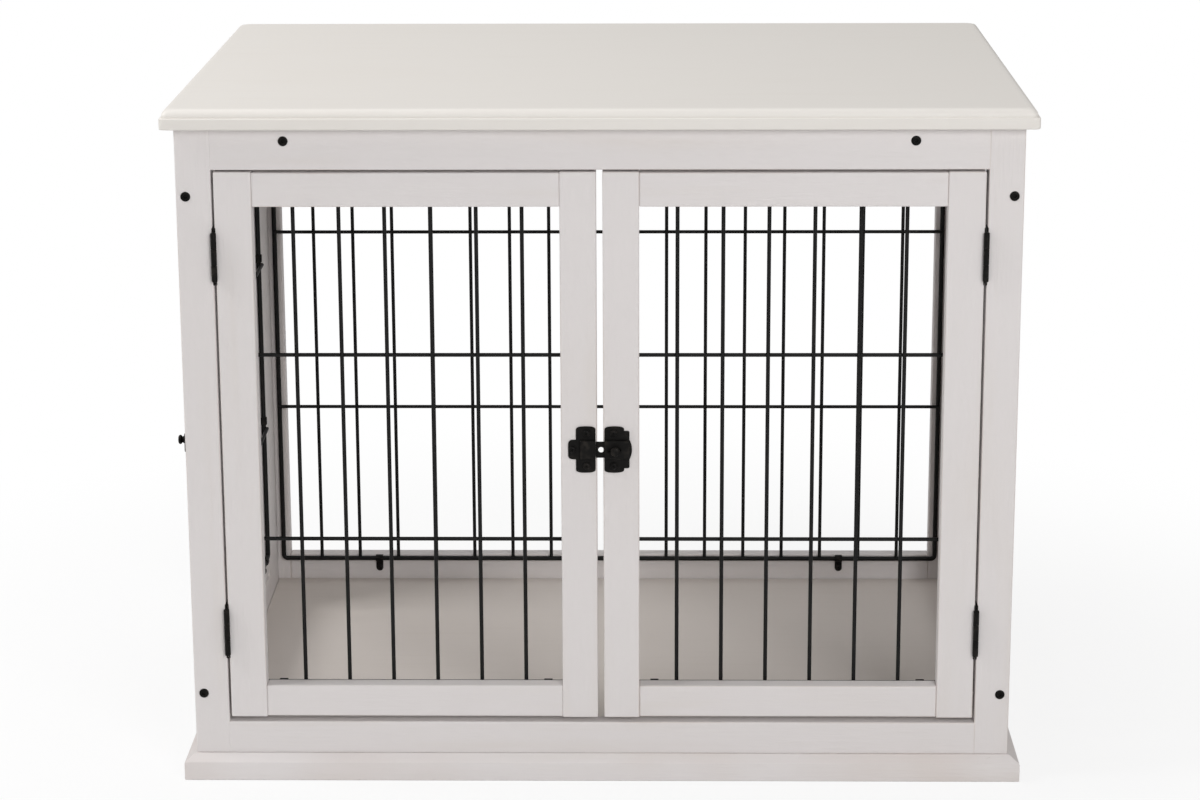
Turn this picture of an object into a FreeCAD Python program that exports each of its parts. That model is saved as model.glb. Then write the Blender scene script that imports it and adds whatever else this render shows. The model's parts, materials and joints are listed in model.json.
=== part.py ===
"""Dog crate end table: a knock-down wooden kennel with wire panels, three doors and a table top.

Millimetres. X runs along the front, Y from the front to the back, Z up. The origin is on the floor,
under the middle of the table top. Every driving size is a cell of the sheet "Sizes".
"""

import FreeCAD, Part

import math
import os

import Sketcher

SIZES = {
    # table top
    "top_width": 810,
    "top_depth": 580,
    "overall_height": 656.5,
    "top_thickness": 19,
    "top_face": 11,
    "top_step": 2,
    "top_round": 7,
    "overhang": 12,
    # plinth, the moulded base frame
    "plinth_height": 24.5,
    "plinth_face": 18,
    "plinth_slope": 9,
    "plinth_overhang": 11,
    "plinth_shelf": 9,
    # carcass frames
    "frame_thickness": 18,
    "stile_width": 32,
    "bottom_rail_height": 32,
    "top_rail_height": 39,
    "side_front_stile": 28,
    "side_rear_stile": 81,
    "edge_round": 1.2,
    "tenon_length": 12,
    "tenon_thickness": 6,
    "tenon_shoulder": 6,
    "mortise_play": 0.2,
    # floor board and the two bearers under the top
    "floor_thickness": 4,
    "floor_play": 0.5,
    "bearer_section": 24,
    "bearer_place": 292,
    # doors
    "door_thickness": 18,
    "door_stile": 34,
    "door_rail": 32,
    "door_rail_step": 0.8,
    "gap_hinge": 4,
    "gap_latch": 6,
    "gap_top": 3,
    "gap_bottom": 5,
    # welded wire panels
    "rod_diameter": 5,
    "wire_diameter": 3.8,
    "weld_depth": 0.3,
    "rod_gap": 0.2,
    "rod_reach_side": 7,
    "rod_reach_rail": 3.5,
    "rod_bend": 4,
    "door_wire_low": 234.5,
    "door_wire_high": 416.5,
    "wall_wire_low": 231.5,
    "wall_wire_high": 430.5,
    # clips that hold the wire panels
    "clip_strap": 1,
    "clip_width": 8,
    "clip_reach": 10.5,
    "clip_tail": 5,
    "clip_low": 243.5,
    "clip_high": 423.5,
    "clip_play": 0.1,
    # small pan-head screw for clips and latch plates
    "screw_diameter": 3,
    "screw_length": 13,
    "screw_head": 7,
    "screw_head_height": 2.4,
    "screw_recess": 1.2,
    "screw_slot": 0.9,
    "hole_play": 0.1,
    # countersunk screws of the hinges and of the timber
    "hinge_screw_diameter": 2.5,
    "hinge_screw_length": 14,
    "hinge_screw_head": 5,
    "wood_screw_diameter": 4,
    "wood_screw_length": 34,
    "wood_screw_head": 8,
    "wood_screw_sink": 10,
    # frame bolts and barrel nuts
    "bolt_diameter": 6,
    "bolt_head": 9,
    "bolt_head_height": 3,
    "bolt_proud": 0.8,
    "bolt_chamfer": 0.6,
    "bolt_socket": 4,
    "bolt_socket_depth": 2,
    "bolt_play": 0.2,
    "bolt_past_nut": 2,
    "bolt_from_top": 64,
    "bolt_from_bottom": 61,
    "nut_diameter": 10,
    "nut_length": 14,
    "nut_place": 15,
    "nut_slot": 1.2,
    "nut_channel": 6,
    # butt hinges
    "hinge_leaf_height": 56,
    "hinge_knuckle_height": 46,
    "hinge_knuckle_diameter": 5.5,
    "hinge_leaf_thickness": 1.2,
    "hinge_leaf_depth": 16,
    "hinge_pin_diameter": 2.6,
    "hinge_pin_play": 0.05,
    "hinge_pin_head": 0.8,
    "hinge_axis_proud": 3.1,
    "hinge_knuckle_gap": 0.4,
    "hinge_screw_pitch": 38,
    "hinge_from_top": 79,
    "hinge_from_bottom": 87,
    # slide latches: two formed plates and a flat bolt with a knob
    "latch_level": 330.5,
    "latch_margin": 1.2,
    "latch_plate": 1.2,
    "latch_main_width": 18.6,
    "latch_main_height": 45.4,
    "latch_main_straight": 40,
    "latch_shoulder_width": 5,
    "latch_shoulder_height": 36.4,
    "latch_arm_reach": 26,
    "latch_arm_height": 19,
    "keeper_arm_round": 4,
    "housing_arm_round": 2.2,
    "latch_channel_height": 18.4,
    "keeper_channel_reach": 14.8,
    "housing_channel_reach": 23.6,
    "latch_channel_room": 2.9,
    "latch_screw_rise": 16,
    "latch_screw_place": 8.6,
    "latch_arm_screw": 22,
    "bolt_plate_width": 15.2,
    "bolt_plate_thickness": 1.6,
    "bolt_plate_lift": 0.3,
    "bolt_nose_past_gap": 1.1,
    "bolt_tail": 22.3,
    "bolt_nose_round": 2.5,
    "bolt_hole_diameter": 7.2,
    "bolt_hole_place": 4.8,
    "bolt_rim_width": 1.1,
    "bolt_rim_height": 0.4,
    "bolt_lock_travel": 6.5,
    "bolt_open_travel": 3.5,
    "knob_place": 14.5,
    "knob_diameter": 9,
    "knob_neck": 3.4,
    "knob_top": 11.6,
    "knob_underside": 5.2,
    "knob_slot_play": 0.3,
}

UP = FreeCAD.Vector(0, 0, 1)


class Size:
    """A length that knows its number and the sheet expression that it comes from."""

    def __init__(self, number, text):
        self.number = float(number)
        self.text = text

    def __float__(self):
        return self.number

    def __add__(self, other):
        return Size(self.number + float(other), f"({self.text} + {text_of(other)})")

    def __sub__(self, other):
        return Size(self.number - float(other), f"({self.text} - {text_of(other)})")

    def __mul__(self, other):
        return Size(self.number * float(other), f"({self.text} * {text_of(other)})")

    def __truediv__(self, other):
        return Size(self.number / float(other), f"({self.text} / {text_of(other)})")

    def __neg__(self):
        return Size(-self.number, f"(0 - {self.text})")

    def __radd__(self, other):
        return Size(float(other), text_of(other)) + self

    def __rsub__(self, other):
        return Size(float(other), text_of(other)) - self

    def __rmul__(self, other):
        return Size(float(other), text_of(other)) * self


def text_of(value):
    """The expression of a Size, or a plain number written out."""
    return value.text if isinstance(value, Size) else repr(float(value))


class Sizes:
    """The driving sizes, kept in a sheet and read back as Size values."""

    def __init__(self, document, numbers):
        sheet = document.addObject("Spreadsheet::Sheet", "Sizes")
        for row, (alias, number) in enumerate(numbers.items(), start=1):
            sheet.set(f"A{row}", alias)
            sheet.set(f"B{row}", str(number))
            sheet.setAlias(f"B{row}", alias)
        document.recompute()
        self._sheet = sheet

    def __getattr__(self, alias):
        return Size(getattr(self._sheet, alias), f"Sizes.{alias}")


DOC = FreeCAD.newDocument("DogCrateEndTable")
S = Sizes(DOC, SIZES)
NODES = {}


class Layout:
    """Planes and openings that the pieces share."""

    top_low = S.overall_height - S.top_thickness
    side = S.top_width / 2 - S.overhang
    front = S.overhang - S.top_depth / 2
    rear = S.top_depth / 2 - S.overhang
    side_inner = side - S.frame_thickness
    front_inner = front + S.frame_thickness
    rear_inner = rear - S.frame_thickness
    frame_low = S.plinth_height
    opening_low = frame_low + S.bottom_rail_height
    opening_high = top_low - S.top_rail_height
    opening_half = side - S.stile_width
    side_opening_front = front_inner + S.side_front_stile
    side_opening_rear = rear_inner - S.side_rear_stile
    door_low = opening_low + S.gap_bottom
    door_high = opening_high - S.gap_top
    door_inner = S.gap_latch / 2
    door_outer = opening_half - S.gap_hinge
    side_door_front = side_opening_front + S.gap_latch
    side_door_rear = side_opening_rear - S.gap_hinge
    rod_plane = S.rod_gap + S.rod_diameter / 2
    hinge_levels = (door_low + S.hinge_from_bottom, door_high - S.hinge_from_top)
    hinge_line = opening_half - S.gap_hinge / 2
    side_hinge_line = side_opening_rear - S.gap_hinge / 2
    side_gap_middle = side_opening_front + S.gap_latch / 2
    latch_start = S.gap_latch / 2 + S.latch_margin
    bolt_length = S.frame_thickness + S.nut_place + S.nut_diameter / 2 + S.bolt_past_nut


L = Layout


# ---------------------------------------------------------------- helpers


def place(thing, x, y, z, turn=0):
    """Puts an object at a point that stays bound to the sheet, turned about Z."""
    thing.Placement = FreeCAD.Placement(
        FreeCAD.Vector(float(x), float(y), float(z)), FreeCAD.Rotation(UP, turn)
    )
    for axis, value in zip("xyz", (x, y, z)):
        if isinstance(value, Size):
            thing.setExpression(f"Placement.Base.{axis}", value.text)


def node(label, thing):
    """Names a finished piece, which is then written to a file of that name."""
    thing.Label = label
    NODES[label] = thing
    return thing


def block(name, low, high):
    """A box between two corners, bound to the sheet."""
    box = DOC.addObject("Part::Box", name)
    for side, start, end in zip(("Length", "Width", "Height"), low, high):
        box.setExpression(side, text_of(end - start))
    place(box, *low)
    DOC.recompute()
    return box


def edges_along(shape, axis):
    """Indices of the straight edges that run along one axis."""
    chosen = []
    for index, edge in enumerate(shape.Edges, start=1):
        start, end = edge.Vertexes[0].Point, edge.Vertexes[-1].Point
        if (end - start).Length - abs((end - start)[axis]) < 1e-6:
            chosen.append(index)
    return chosen


def eased(box, axis):
    """Rounds the long edges of a bar."""
    fillet = DOC.addObject("Part::Fillet", box.Name + "_eased")
    fillet.Base = box
    radius = float(S.edge_round)
    fillet.Edges = [(index, radius, radius) for index in edges_along(box.Shape, axis)]
    DOC.recompute()
    return fillet


def joined(name, pieces):
    """One solid from pieces that meet or overlap."""
    fuse = DOC.addObject("Part::MultiFuse", name)
    fuse.Shapes = pieces
    DOC.recompute()
    return fuse


def cut(name, base, tools):
    """A base with tools taken out of it, left alone when no tool reaches it."""
    near = [tool for tool in tools if tool.BoundBox.intersect(base.Shape.BoundBox)]
    if not near:
        return base
    holes = DOC.addObject("Part::Feature", name + "_holes")
    holes.Shape = Part.makeCompound(near)
    result = DOC.addObject("Part::Cut", name)
    result.Base = base
    result.Tool = holes
    DOC.recompute()
    return result


def group(label, shapes):
    """Separate solids of one kind, kept together under one name."""
    feature = DOC.addObject("Part::Feature", label)
    feature.Shape = Part.makeCompound(shapes)
    return node(label, feature)


def origin_plane(body, role):
    """One of a body's own origin planes."""
    return next(feature for feature in body.Origin.OriginFeatures if feature.Role == role)


def sketch_on(body, name, role, lift=None):
    """A sketch on an origin plane of the body, lifted off it by a bound distance."""
    sketch = body.newObject("Sketcher::SketchObject", name)
    sketch.AttachmentSupport = [(origin_plane(body, role), "")]
    sketch.MapMode = "FlatFace"
    if lift is not None:
        sketch.setExpression("AttachmentOffset.Base.z", text_of(lift))
    return sketch


def bind_point(sketch, geometry, end, x, y):
    """Ties a point of the sketch to its place, measured from the sketch's origin."""
    for kind, value in (("DistanceX", x), ("DistanceY", y)):
        index = sketch.addConstraint(
            Sketcher.Constraint(kind, -1, 1, geometry, end, float(value))
        )
        if isinstance(value, Size):
            sketch.setExpression(f"Constraints[{index}]", value.text)


def outline(sketch, points):
    """A closed outline of straight lines through bound points."""
    corners = [FreeCAD.Vector(float(x), float(y), 0) for x, y in points]
    first = sketch.GeometryCount
    count = len(points)
    for index in range(count):
        sketch.addGeometry(Part.LineSegment(corners[index], corners[(index + 1) % count]))
    for index in range(count):
        following = first + (index + 1) % count
        sketch.addConstraint(Sketcher.Constraint("Coincident", first + index, 2, following, 1))
    for index, (x, y) in enumerate(points):
        bind_point(sketch, first + index, 1, x, y)


def rectangle(sketch, x_low, y_low, x_high, y_high):
    """A closed rectangle between bound corners."""
    outline(sketch, [(x_low, y_low), (x_high, y_low), (x_high, y_high), (x_low, y_high)])


def circle(sketch, x, y, radius):
    """A bound circle."""
    centre = FreeCAD.Vector(float(x), float(y), 0)
    index = sketch.addGeometry(Part.Circle(centre, UP, float(radius)))
    bind_point(sketch, index, 3, x, y)
    constraint = sketch.addConstraint(Sketcher.Constraint("Radius", index, float(radius)))
    sketch.setExpression(f"Constraints[{constraint}]", text_of(radius))


def pad(body, name, sketch, length, midplane=False):
    """Material raised from a sketch."""
    feature = body.newObject("PartDesign::Pad", name)
    feature.Profile = sketch
    feature.setExpression("Length", text_of(length))
    feature.Midplane = midplane
    DOC.recompute()
    return feature


def pocket(body, name, sketch, length=None, backwards=False):
    """Material taken out under a sketch: to a depth, or both ways through all."""
    before = body.Shape.Volume
    feature = body.newObject("PartDesign::Pocket", name)
    feature.Profile = sketch
    if length is None:
        feature.Type = 1
        feature.Midplane = True
    else:
        feature.setExpression("Length", text_of(length))
    feature.Reversed = backwards
    DOC.recompute()
    if body.Shape.Volume >= before - 1e-6:
        raise RuntimeError(f"{name} cuts nothing")
    return feature


def fillet_edges(body, name, feature, radius, wanted):
    """Rounds the edges of a feature that a test picks."""
    names = [f"Edge{i}" for i, edge in enumerate(feature.Shape.Edges, start=1) if wanted(edge)]
    rounding = body.newObject("PartDesign::Fillet", name)
    rounding.Base = (feature, names)
    rounding.setExpression("Radius", text_of(radius))
    DOC.recompute()
    return rounding


# ---------------------------------------------------------------- fasteners


class Fastener:
    """A turned fastener: its head sits on z = 0 of its own axis and points up."""

    def __init__(self, profile, recess, play, channel=0):
        self.profile = [(float(radius), float(z)) for radius, z in profile]
        self.recess = recess
        self.play = float(play)
        self.channel = float(channel)

    def turned(self, grow):
        """The profile turned about its axis, with every radius grown for a hole."""
        points = [
            FreeCAD.Vector(radius + grow if radius > 0 else 0, 0, z) for radius, z in self.profile
        ]
        return Part.Face(Part.makePolygon(points + points[:1])).revolve(FreeCAD.Vector(), UP, 360)

    def solid(self, spot):
        """The fastener at a spot."""
        return moved(self.turned(0).cut(self.recess), spot)

    def hole(self, spot):
        """The hole that the fastener needs at a spot, with a channel to bring it in."""
        shape = self.turned(self.play)
        if self.channel:
            widest = max(radius for radius, _ in self.profile) + self.play
            shape = shape.fuse(Part.makeCylinder(widest, self.channel)).removeSplitter()
        return moved(shape, spot)


def moved(shape, spot):
    """A copy of a shape whose own +Z is turned to the spot's direction."""
    point, direction = spot
    copy = shape.copy()
    rotation = FreeCAD.Rotation(UP, FreeCAD.Vector(*direction))
    copy.Placement = FreeCAD.Placement(FreeCAD.Vector(*[float(v) for v in point]), rotation)
    return copy


def cross_recess(width, arm, depth, top):
    """A cross-shaped driver recess."""
    width, arm, depth, top = float(width), float(arm), float(depth), float(top)
    bars = [
        Part.makeBox(x, y, depth, FreeCAD.Vector(-x / 2, -y / 2, top - depth))
        for x, y in ((arm, width), (width, arm))
    ]
    return bars[0].fuse(bars[1])


# the crown of a dome head: shares of its radius and of its height
DOME = ((0.45, 1), (0.85, 0.7), (1, 0.3))


def pan_screw():
    """The small dome-headed screw of the clips and latch plates."""
    head = S.screw_head / 2
    top = S.screw_head_height
    shank = S.screw_diameter / 2
    crown = [(head * across, top * up) for across, up in DOME]
    profile = [(0, top)] + crown + [
        (head, 0), (shank, 0), (shank, shank - S.screw_length), (0, -S.screw_length),
    ]
    recess = cross_recess(S.screw_slot, head, S.screw_recess, top)
    return Fastener(profile, recess, S.hole_play)


def countersunk_screw(diameter, length, head, channel):
    """A flat-headed wood screw whose head ends flush with z = 0."""
    shank = diameter / 2
    cone = head / 2 - shank
    profile = [(0, 0), (head / 2, 0), (shank, -cone), (shank, shank - length), (0, -length)]
    recess = cross_recess(S.screw_slot, head * 0.55, cone * 0.8, 0)
    return Fastener(profile, recess, S.hole_play, channel)


def frame_bolt():
    """The socket-head bolt of the carcass, seated in a counterbore."""
    head = S.bolt_head / 2
    top = S.bolt_proud
    seat = top - S.bolt_head_height
    shank = S.bolt_diameter / 2
    chamfer = S.bolt_chamfer
    profile = [
        (0, top), (head - chamfer, top), (head, top - chamfer), (head, seat),
        (shank, seat), (shank, -L.bolt_length), (0, -L.bolt_length),
    ]
    return Fastener(profile, hex_socket(), S.bolt_play)


def hex_socket():
    """The hexagonal key socket of a frame bolt."""
    radius = float(S.bolt_socket) / math.sqrt(3)
    floor = float(S.bolt_proud - S.bolt_socket_depth)
    turns = [math.radians(60 * step) for step in range(7)]
    corners = [
        FreeCAD.Vector(radius * math.cos(turn), radius * math.sin(turn), floor) for turn in turns
    ]
    return Part.Face(Part.makePolygon(corners)).extrude(UP * float(S.bolt_socket_depth))


def barrel_nut():
    """A slotted cross nut: z = 0 is its slotted end, and the bolt crosses it halfway."""
    radius = S.nut_diameter / 2
    profile = [(0, 0), (radius, 0), (radius, -S.nut_length), (0, -S.nut_length)]
    width, slot = float(S.nut_diameter), float(S.nut_slot)
    recess = Part.makeBox(width, slot, slot, FreeCAD.Vector(-width / 2, -slot / 2, -slot))
    return Fastener(profile, recess, S.hole_play, S.nut_channel)


PAN_SCREW = pan_screw()
HINGE_SCREW = countersunk_screw(
    S.hinge_screw_diameter, S.hinge_screw_length, S.hinge_screw_head, 0
)
TOP_SCREW = countersunk_screw(S.wood_screw_diameter, S.wood_screw_length, S.wood_screw_head, 0)
PLINTH_SCREW = countersunk_screw(
    S.wood_screw_diameter, S.wood_screw_length, S.wood_screw_head, S.wood_screw_sink + 1
)
FRAME_BOLT = frame_bolt()
BARREL_NUT = barrel_nut()


def bolt_spots():
    """Bolts through the front and rear frames, and on which side of the crate they are."""
    side_places = [
        (L.side - S.frame_thickness / 2, L.frame_low + S.bolt_from_bottom),
        (L.side - S.frame_thickness / 2, L.top_low - S.bolt_from_top),
        (S.bearer_place, L.top_low - S.bearer_section / 2),
    ]
    spots = []
    for face, outward in ((L.front, -1), (L.rear, 1)):
        for x, z in side_places:
            for side in (-1, 1):
                spots.append(((x * side, face, z), (0, outward, 0)))
    return spots


def nut_spots():
    """Barrel nuts: from inside the crate in the side frames, from below in the bearers."""
    inset = S.frame_thickness + S.nut_place
    half = S.nut_length / 2
    spots = []
    for (x, y, z), (_, outward, _) in bolt_spots():
        y_nut = y - inset * outward
        if abs(float(x)) > float(L.opening_half):
            side = math.copysign(1, float(x))
            spots.append(((x - half * side, y_nut, z), (-side, 0, 0)))
        else:
            spots.append(((x, y_nut, z - half), (0, 0, -1)))
    return spots


def top_screw_spots():
    """Screws up through the two bearers into the table top."""
    low = L.top_low - S.bearer_section
    return [
        ((S.bearer_place * side, y, low), (0, 0, -1))
        for side in (-1, 1)
        for y in (L.front_inner * 0.6, 0, L.rear_inner * 0.6)
    ]


def plinth_screw_spots():
    """Screws up through the plinth into the bottom rails."""
    half = S.frame_thickness / 2
    spots = []
    for y in (L.front + half, L.rear - half):
        for x in (-L.opening_half * 0.8, 0, L.opening_half * 0.8):
            spots.append(((x, y, S.wood_screw_sink), (0, 0, -1)))
    for side in (-1, 1):
        for y in (L.side_opening_front + S.stile_width, L.side_opening_rear - S.stile_width):
            spots.append((((L.side - half) * side, y, S.wood_screw_sink), (0, 0, -1)))
    return spots


# ---------------------------------------------------------------- transforms


class Pose:
    """A place in the crate for pieces that are laid out on their own axes."""

    def __init__(self, origin, x_axis, z_axis, mirrored=False):
        x = FreeCAD.Vector(*x_axis)
        z = FreeCAD.Vector(*z_axis)
        y = z.cross(x)
        point = [float(value) for value in origin]
        rows = [(x[i], y[i], z[i], point[i]) for i in range(3)]
        numbers = [number for row in rows for number in row] + [0, 0, 0, 1]
        self.matrix = FreeCAD.Matrix(*numbers)
        self.origin = origin
        self.mirrored = mirrored

    def shape(self, shape):
        """A copy of a shape, carried to the pose."""
        copy = shape.mirror(FreeCAD.Vector(), FreeCAD.Vector(1, 0, 0)) if self.mirrored else shape.copy()
        copy.Placement = FreeCAD.Placement(self.matrix).multiply(copy.Placement)
        return copy

    def spots(self, spots):
        """Fastener spots, carried to the pose."""
        flip = -1 if self.mirrored else 1
        carried = []
        for (x, y, z), (dx, dy, dz) in spots:
            point = self.matrix.multVec(FreeCAD.Vector(float(x) * flip, float(y), float(z)))
            end = self.matrix.multVec(
                FreeCAD.Vector(float(x + dx) * flip, float(y + dy), float(z + dz))
            )
            carried.append((tuple(point), tuple(end - point)))
        return carried

    def object(self, thing):
        """Places an object at the pose, bound to the sheet."""
        thing.Placement = FreeCAD.Placement(self.matrix)
        for axis, value in zip("xyz", self.origin):
            if isinstance(value, Size):
                thing.setExpression(f"Placement.Base.{axis}", value.text)
        DOC.recompute()
        return thing


# ---------------------------------------------------------------- hinges


class Hinge:
    """A butt hinge on its own axes: Z is the pin, X runs from the post to the door, and the
    timber's face is hinge_axis_proud along +Y."""

    def __init__(self):
        self.knuckle = float(S.hinge_knuckle_diameter) / 2
        self.bore = float(S.hinge_pin_diameter / 2 + S.hinge_pin_play)
        self.half = float(S.hinge_knuckle_height) / 2
        self.middle = float(S.hinge_knuckle_height) / 6
        self.split = float(S.hinge_knuckle_gap) / 2
        self.gap = float(S.gap_hinge) / 2
        self.thick = float(S.hinge_leaf_thickness)
        self.face = float(S.hinge_axis_proud)

    def bands(self, on_door):
        """The heights of the knuckles that belong to one leaf."""
        if on_door:
            return [(self.split - self.middle, self.middle - self.split)]
        outer = self.middle + self.split
        return [(-self.half, -outer), (outer, self.half)]

    def leaf(self, on_door):
        """One leaf: a flat plate on the timber's edge and its share of the knuckles."""
        x = self.gap - self.thick if on_door else -self.gap
        height = float(S.hinge_leaf_height)
        depth = float(S.hinge_leaf_depth)
        plate = Part.makeBox(
            self.thick, depth, height, FreeCAD.Vector(x, self.face, -height / 2)
        )
        pieces = []
        for low, high in self.bands(on_door):
            base = FreeCAD.Vector(0, 0, low)
            pieces.append(Part.makeCylinder(self.knuckle, high - low, base))
            web = FreeCAD.Vector(x, 0, low)
            pieces.append(Part.makeBox(self.thick, self.face + self.thick, high - low, web))
        bore = Part.makeCylinder(self.bore, 2 * height, FreeCAD.Vector(0, 0, -height))
        holes = [HINGE_SCREW.hole(spot) for spot in self.screw_spots(on_door)]
        return plate.multiFuse(pieces).removeSplitter().cut([bore] + holes)

    def pin(self):
        """The pin, with a low cap past each end of the knuckles."""
        radius = float(S.hinge_pin_diameter) / 2
        end = self.half + float(S.hinge_pin_play)
        shape = Part.makeCylinder(radius, 2 * end, FreeCAD.Vector(0, 0, -end))
        for base, outward in ((end, UP), (-end, -UP)):
            point = FreeCAD.Vector(0, 0, base)
            cap = Part.makeCone(self.knuckle * 0.85, radius, float(S.hinge_pin_head), point, outward)
            shape = shape.fuse(cap)
        return shape.removeSplitter()

    def screw_spots(self, on_door):
        """Flush screws through a leaf, driven from the gap into the timber."""
        side = 1 if on_door else -1
        x = side * (self.gap - self.thick)
        y = self.face + float(S.hinge_leaf_depth) / 2
        rise = float(S.hinge_screw_pitch) / 2
        return [((x, y, z), (-side, 0, 0)) for z in (-rise, rise)]


HINGE = Hinge()


def hinge_poses(x, y, x_axis, mirrored=False):
    """The poses of a door's two hinges."""
    return [Pose((x, y, level), x_axis, (0, 0, 1), mirrored) for level in L.hinge_levels]


DOOR_HINGES = {
    "left_door": hinge_poses(-L.hinge_line, L.front - S.hinge_axis_proud, (1, 0, 0)),
    "right_door": hinge_poses(L.hinge_line, L.front - S.hinge_axis_proud, (1, 0, 0), True),
    "side_door": hinge_poses(-L.side - S.hinge_axis_proud, L.side_hinge_line, (0, -1, 0)),
}


# ---------------------------------------------------------------- clips


def clip_shape():
    """A saddle clip on its own axes: the rod runs along X, Z points away from the timber, and
    the tail with the screw lies towards -Y."""
    strap = float(S.clip_strap)
    width = float(S.clip_width)
    inner = float(S.rod_diameter / 2 + S.clip_play)
    rise = float(L.rod_plane)
    left = -width / 2
    axis = FreeCAD.Vector(left, 0, rise)
    along = FreeCAD.Vector(1, 0, 0)
    outer = inner + strap
    saddle = Part.makeCylinder(outer, width, axis, along).fuse(
        Part.makeBox(width, 2 * outer, rise, FreeCAD.Vector(left, -outer, 0))
    )
    hollow = Part.makeCylinder(inner, width, axis, along).fuse(
        Part.makeBox(width, 2 * inner, rise, FreeCAD.Vector(left, -inner, 0))
    )
    reach = float(S.clip_reach + S.clip_tail)
    tail = Part.makeBox(width, reach - outer, strap, FreeCAD.Vector(left, -reach, 0))
    below = Part.makeBox(width, 2 * reach, rise, FreeCAD.Vector(left, -reach, -rise))
    strap_only = saddle.cut([hollow, below]).fuse(tail).removeSplitter()
    return strap_only.cut(PAN_SCREW.hole(CLIP_SCREW))


CLIP_SCREW = ((0, -float(S.clip_reach), float(S.clip_strap)), (0, 0, 1))


class ClipLine:
    """The clips round one wire panel, each with its tail away from the opening."""

    def __init__(self, centre, run_axis, into_room, half_run, half_rise, rail_places, levels):
        run = FreeCAD.Vector(*run_axis)
        middle = FreeCAD.Vector(*[float(value) for value in centre])
        self.poses = []
        for sign in (-1, 1):
            for along in rail_places:
                point = middle + run * float(along) + UP * (sign * float(half_rise))
                self.add(point, UP * sign, into_room)
            for level in levels:
                point = middle + run * (sign * float(half_run))
                point.z = float(level)
                self.add(point, run * sign, into_room)

    def add(self, point, outwards, into_room):
        """A clip at a point of the timber's face."""
        away = FreeCAD.Vector(*into_room)
        along = (-outwards).cross(away)
        self.poses.append(Pose(tuple(point), tuple(along), into_room))

    def clips(self):
        """The clips themselves."""
        shape = clip_shape()
        return [pose.shape(shape) for pose in self.poses]

    def screw_spots(self):
        """Where the clips are screwed down."""
        return [spot for pose in self.poses for spot in pose.spots([CLIP_SCREW])]


# ---------------------------------------------------------------- wire panels


class PanelSize:
    """The reach of a wire panel round an opening, between its rods' centre lines."""

    def __init__(self, start, end, low, high, uprights, levels):
        self.run_centre = (start + end) / 2
        self.rise_centre = (low + high) / 2
        self.half_run = (end - start) / 2 + S.rod_reach_side
        self.half_rise = (high - low) / 2 + S.rod_reach_rail
        self.uprights = uprights
        self.pitch = self.half_run * 2 / (uprights + 1)
        self.levels = levels

    def gap_middle(self, gap):
        """How far the middle of a gap between uprights is from the panel's middle, when the gaps
        are counted from its side."""
        return self.half_run - self.pitch * (gap - 0.5)


def wire_panel(label, size, centre, turn):
    """A welded panel: one bent edge rod, uprights in its plane and cross wires towards the room.

    Its own X runs along the panel and its own Y points into the crate.
    """
    body = DOC.addObject("PartDesign::Body", label)
    straight = size.half_rise - S.rod_bend
    section = sketch_on(body, label + "_rod_section", "XY_Plane", straight)
    circle(section, -size.half_run, 0, S.rod_diameter / 2)
    path = sketch_on(body, label + "_rod_path", "XZ_Plane")
    rounded_path(path, size.half_run, size.half_rise, S.rod_bend)
    DOC.recompute()
    rod = body.newObject("PartDesign::AdditivePipe", label + "_rod")
    rod.Profile = section
    rod.Spine = (path, [])
    DOC.recompute()
    closing = sketch_on(body, label + "_rod_closing", "XY_Plane")
    circle(closing, -size.half_run, 0, S.rod_diameter / 2)
    pad(body, label + "_rod_side", closing, straight * 2, midplane=True)
    uprights = sketch_on(body, label + "_upright_sections", "XY_Plane")
    for index in range(size.uprights):
        circle(uprights, size.pitch * (index + 1) - size.half_run, 0, S.wire_diameter / 2)
    pad(body, label + "_uprights", uprights, size.half_rise * 2, midplane=True)
    crossing = sketch_on(body, label + "_cross_sections", "YZ_Plane")
    for level in size.levels:
        circle(crossing, S.wire_diameter - S.weld_depth, level - centre[2], S.wire_diameter / 2)
    length = size.half_run * 2 + S.rod_diameter / 2
    pad(body, label + "_cross_wires", crossing, length, midplane=True)
    place(body, *centre, turn)
    return node(label, body)


def rounded_path(sketch, half_run, half_rise, bend):
    """A rounded rectangle without its left side: four bends and the three lines between them."""
    a, b, r = float(half_run), float(half_rise), float(bend)
    k = r * (1 - math.sqrt(0.5))
    bends = [
        ((-a, b - r), (k - a, b - k), (r - a, b)),
        ((a - r, b), (a - k, b - k), (a, b - r)),
        ((a, r - b), (a - k, k - b), (a - r, -b)),
        ((r - a, -b), (k - a, k - b), (-a, r - b)),
    ]
    points = [[FreeCAD.Vector(x, y, 0) for x, y in corner] for corner in bends]
    for index, (start, crown, end) in enumerate(points):
        add_arc(sketch, start, crown, end)
        if index < 3:
            sketch.addGeometry(Part.LineSegment(end, points[index + 1][0]))
    ends = [edge_ends(sketch, 2 * index, points[index][0]) for index in range(4)]
    run = half_run - bend
    rise = half_rise - bend
    for index, (x, y) in enumerate(((-run, rise), (run, rise), (run, -rise), (-run, -rise))):
        arc = 2 * index
        bind_point(sketch, arc, 3, x, y)
        bind_radius(sketch, arc, bend)
        side_end, rail_end = ends[index] if index in (0, 2) else ends[index][::-1]
        bind_reach(sketch, "DistanceY", arc, side_end, y)
        bind_reach(sketch, "DistanceX", arc, rail_end, x)
        if index < 3:
            leaving, arriving = ends[index][1], ends[index + 1][0]
            sketch.addConstraint(Sketcher.Constraint("Coincident", arc, leaving, arc + 1, 1))
            sketch.addConstraint(Sketcher.Constraint("Coincident", arc + 1, 2, arc + 2, arriving))


def bind_reach(sketch, kind, geometry, end, value):
    """Ties one coordinate of a point to the sheet."""
    number = sketch.addConstraint(Sketcher.Constraint(kind, -1, 1, geometry, end, float(value)))
    sketch.setExpression(f"Constraints[{number}]", text_of(value))


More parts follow.
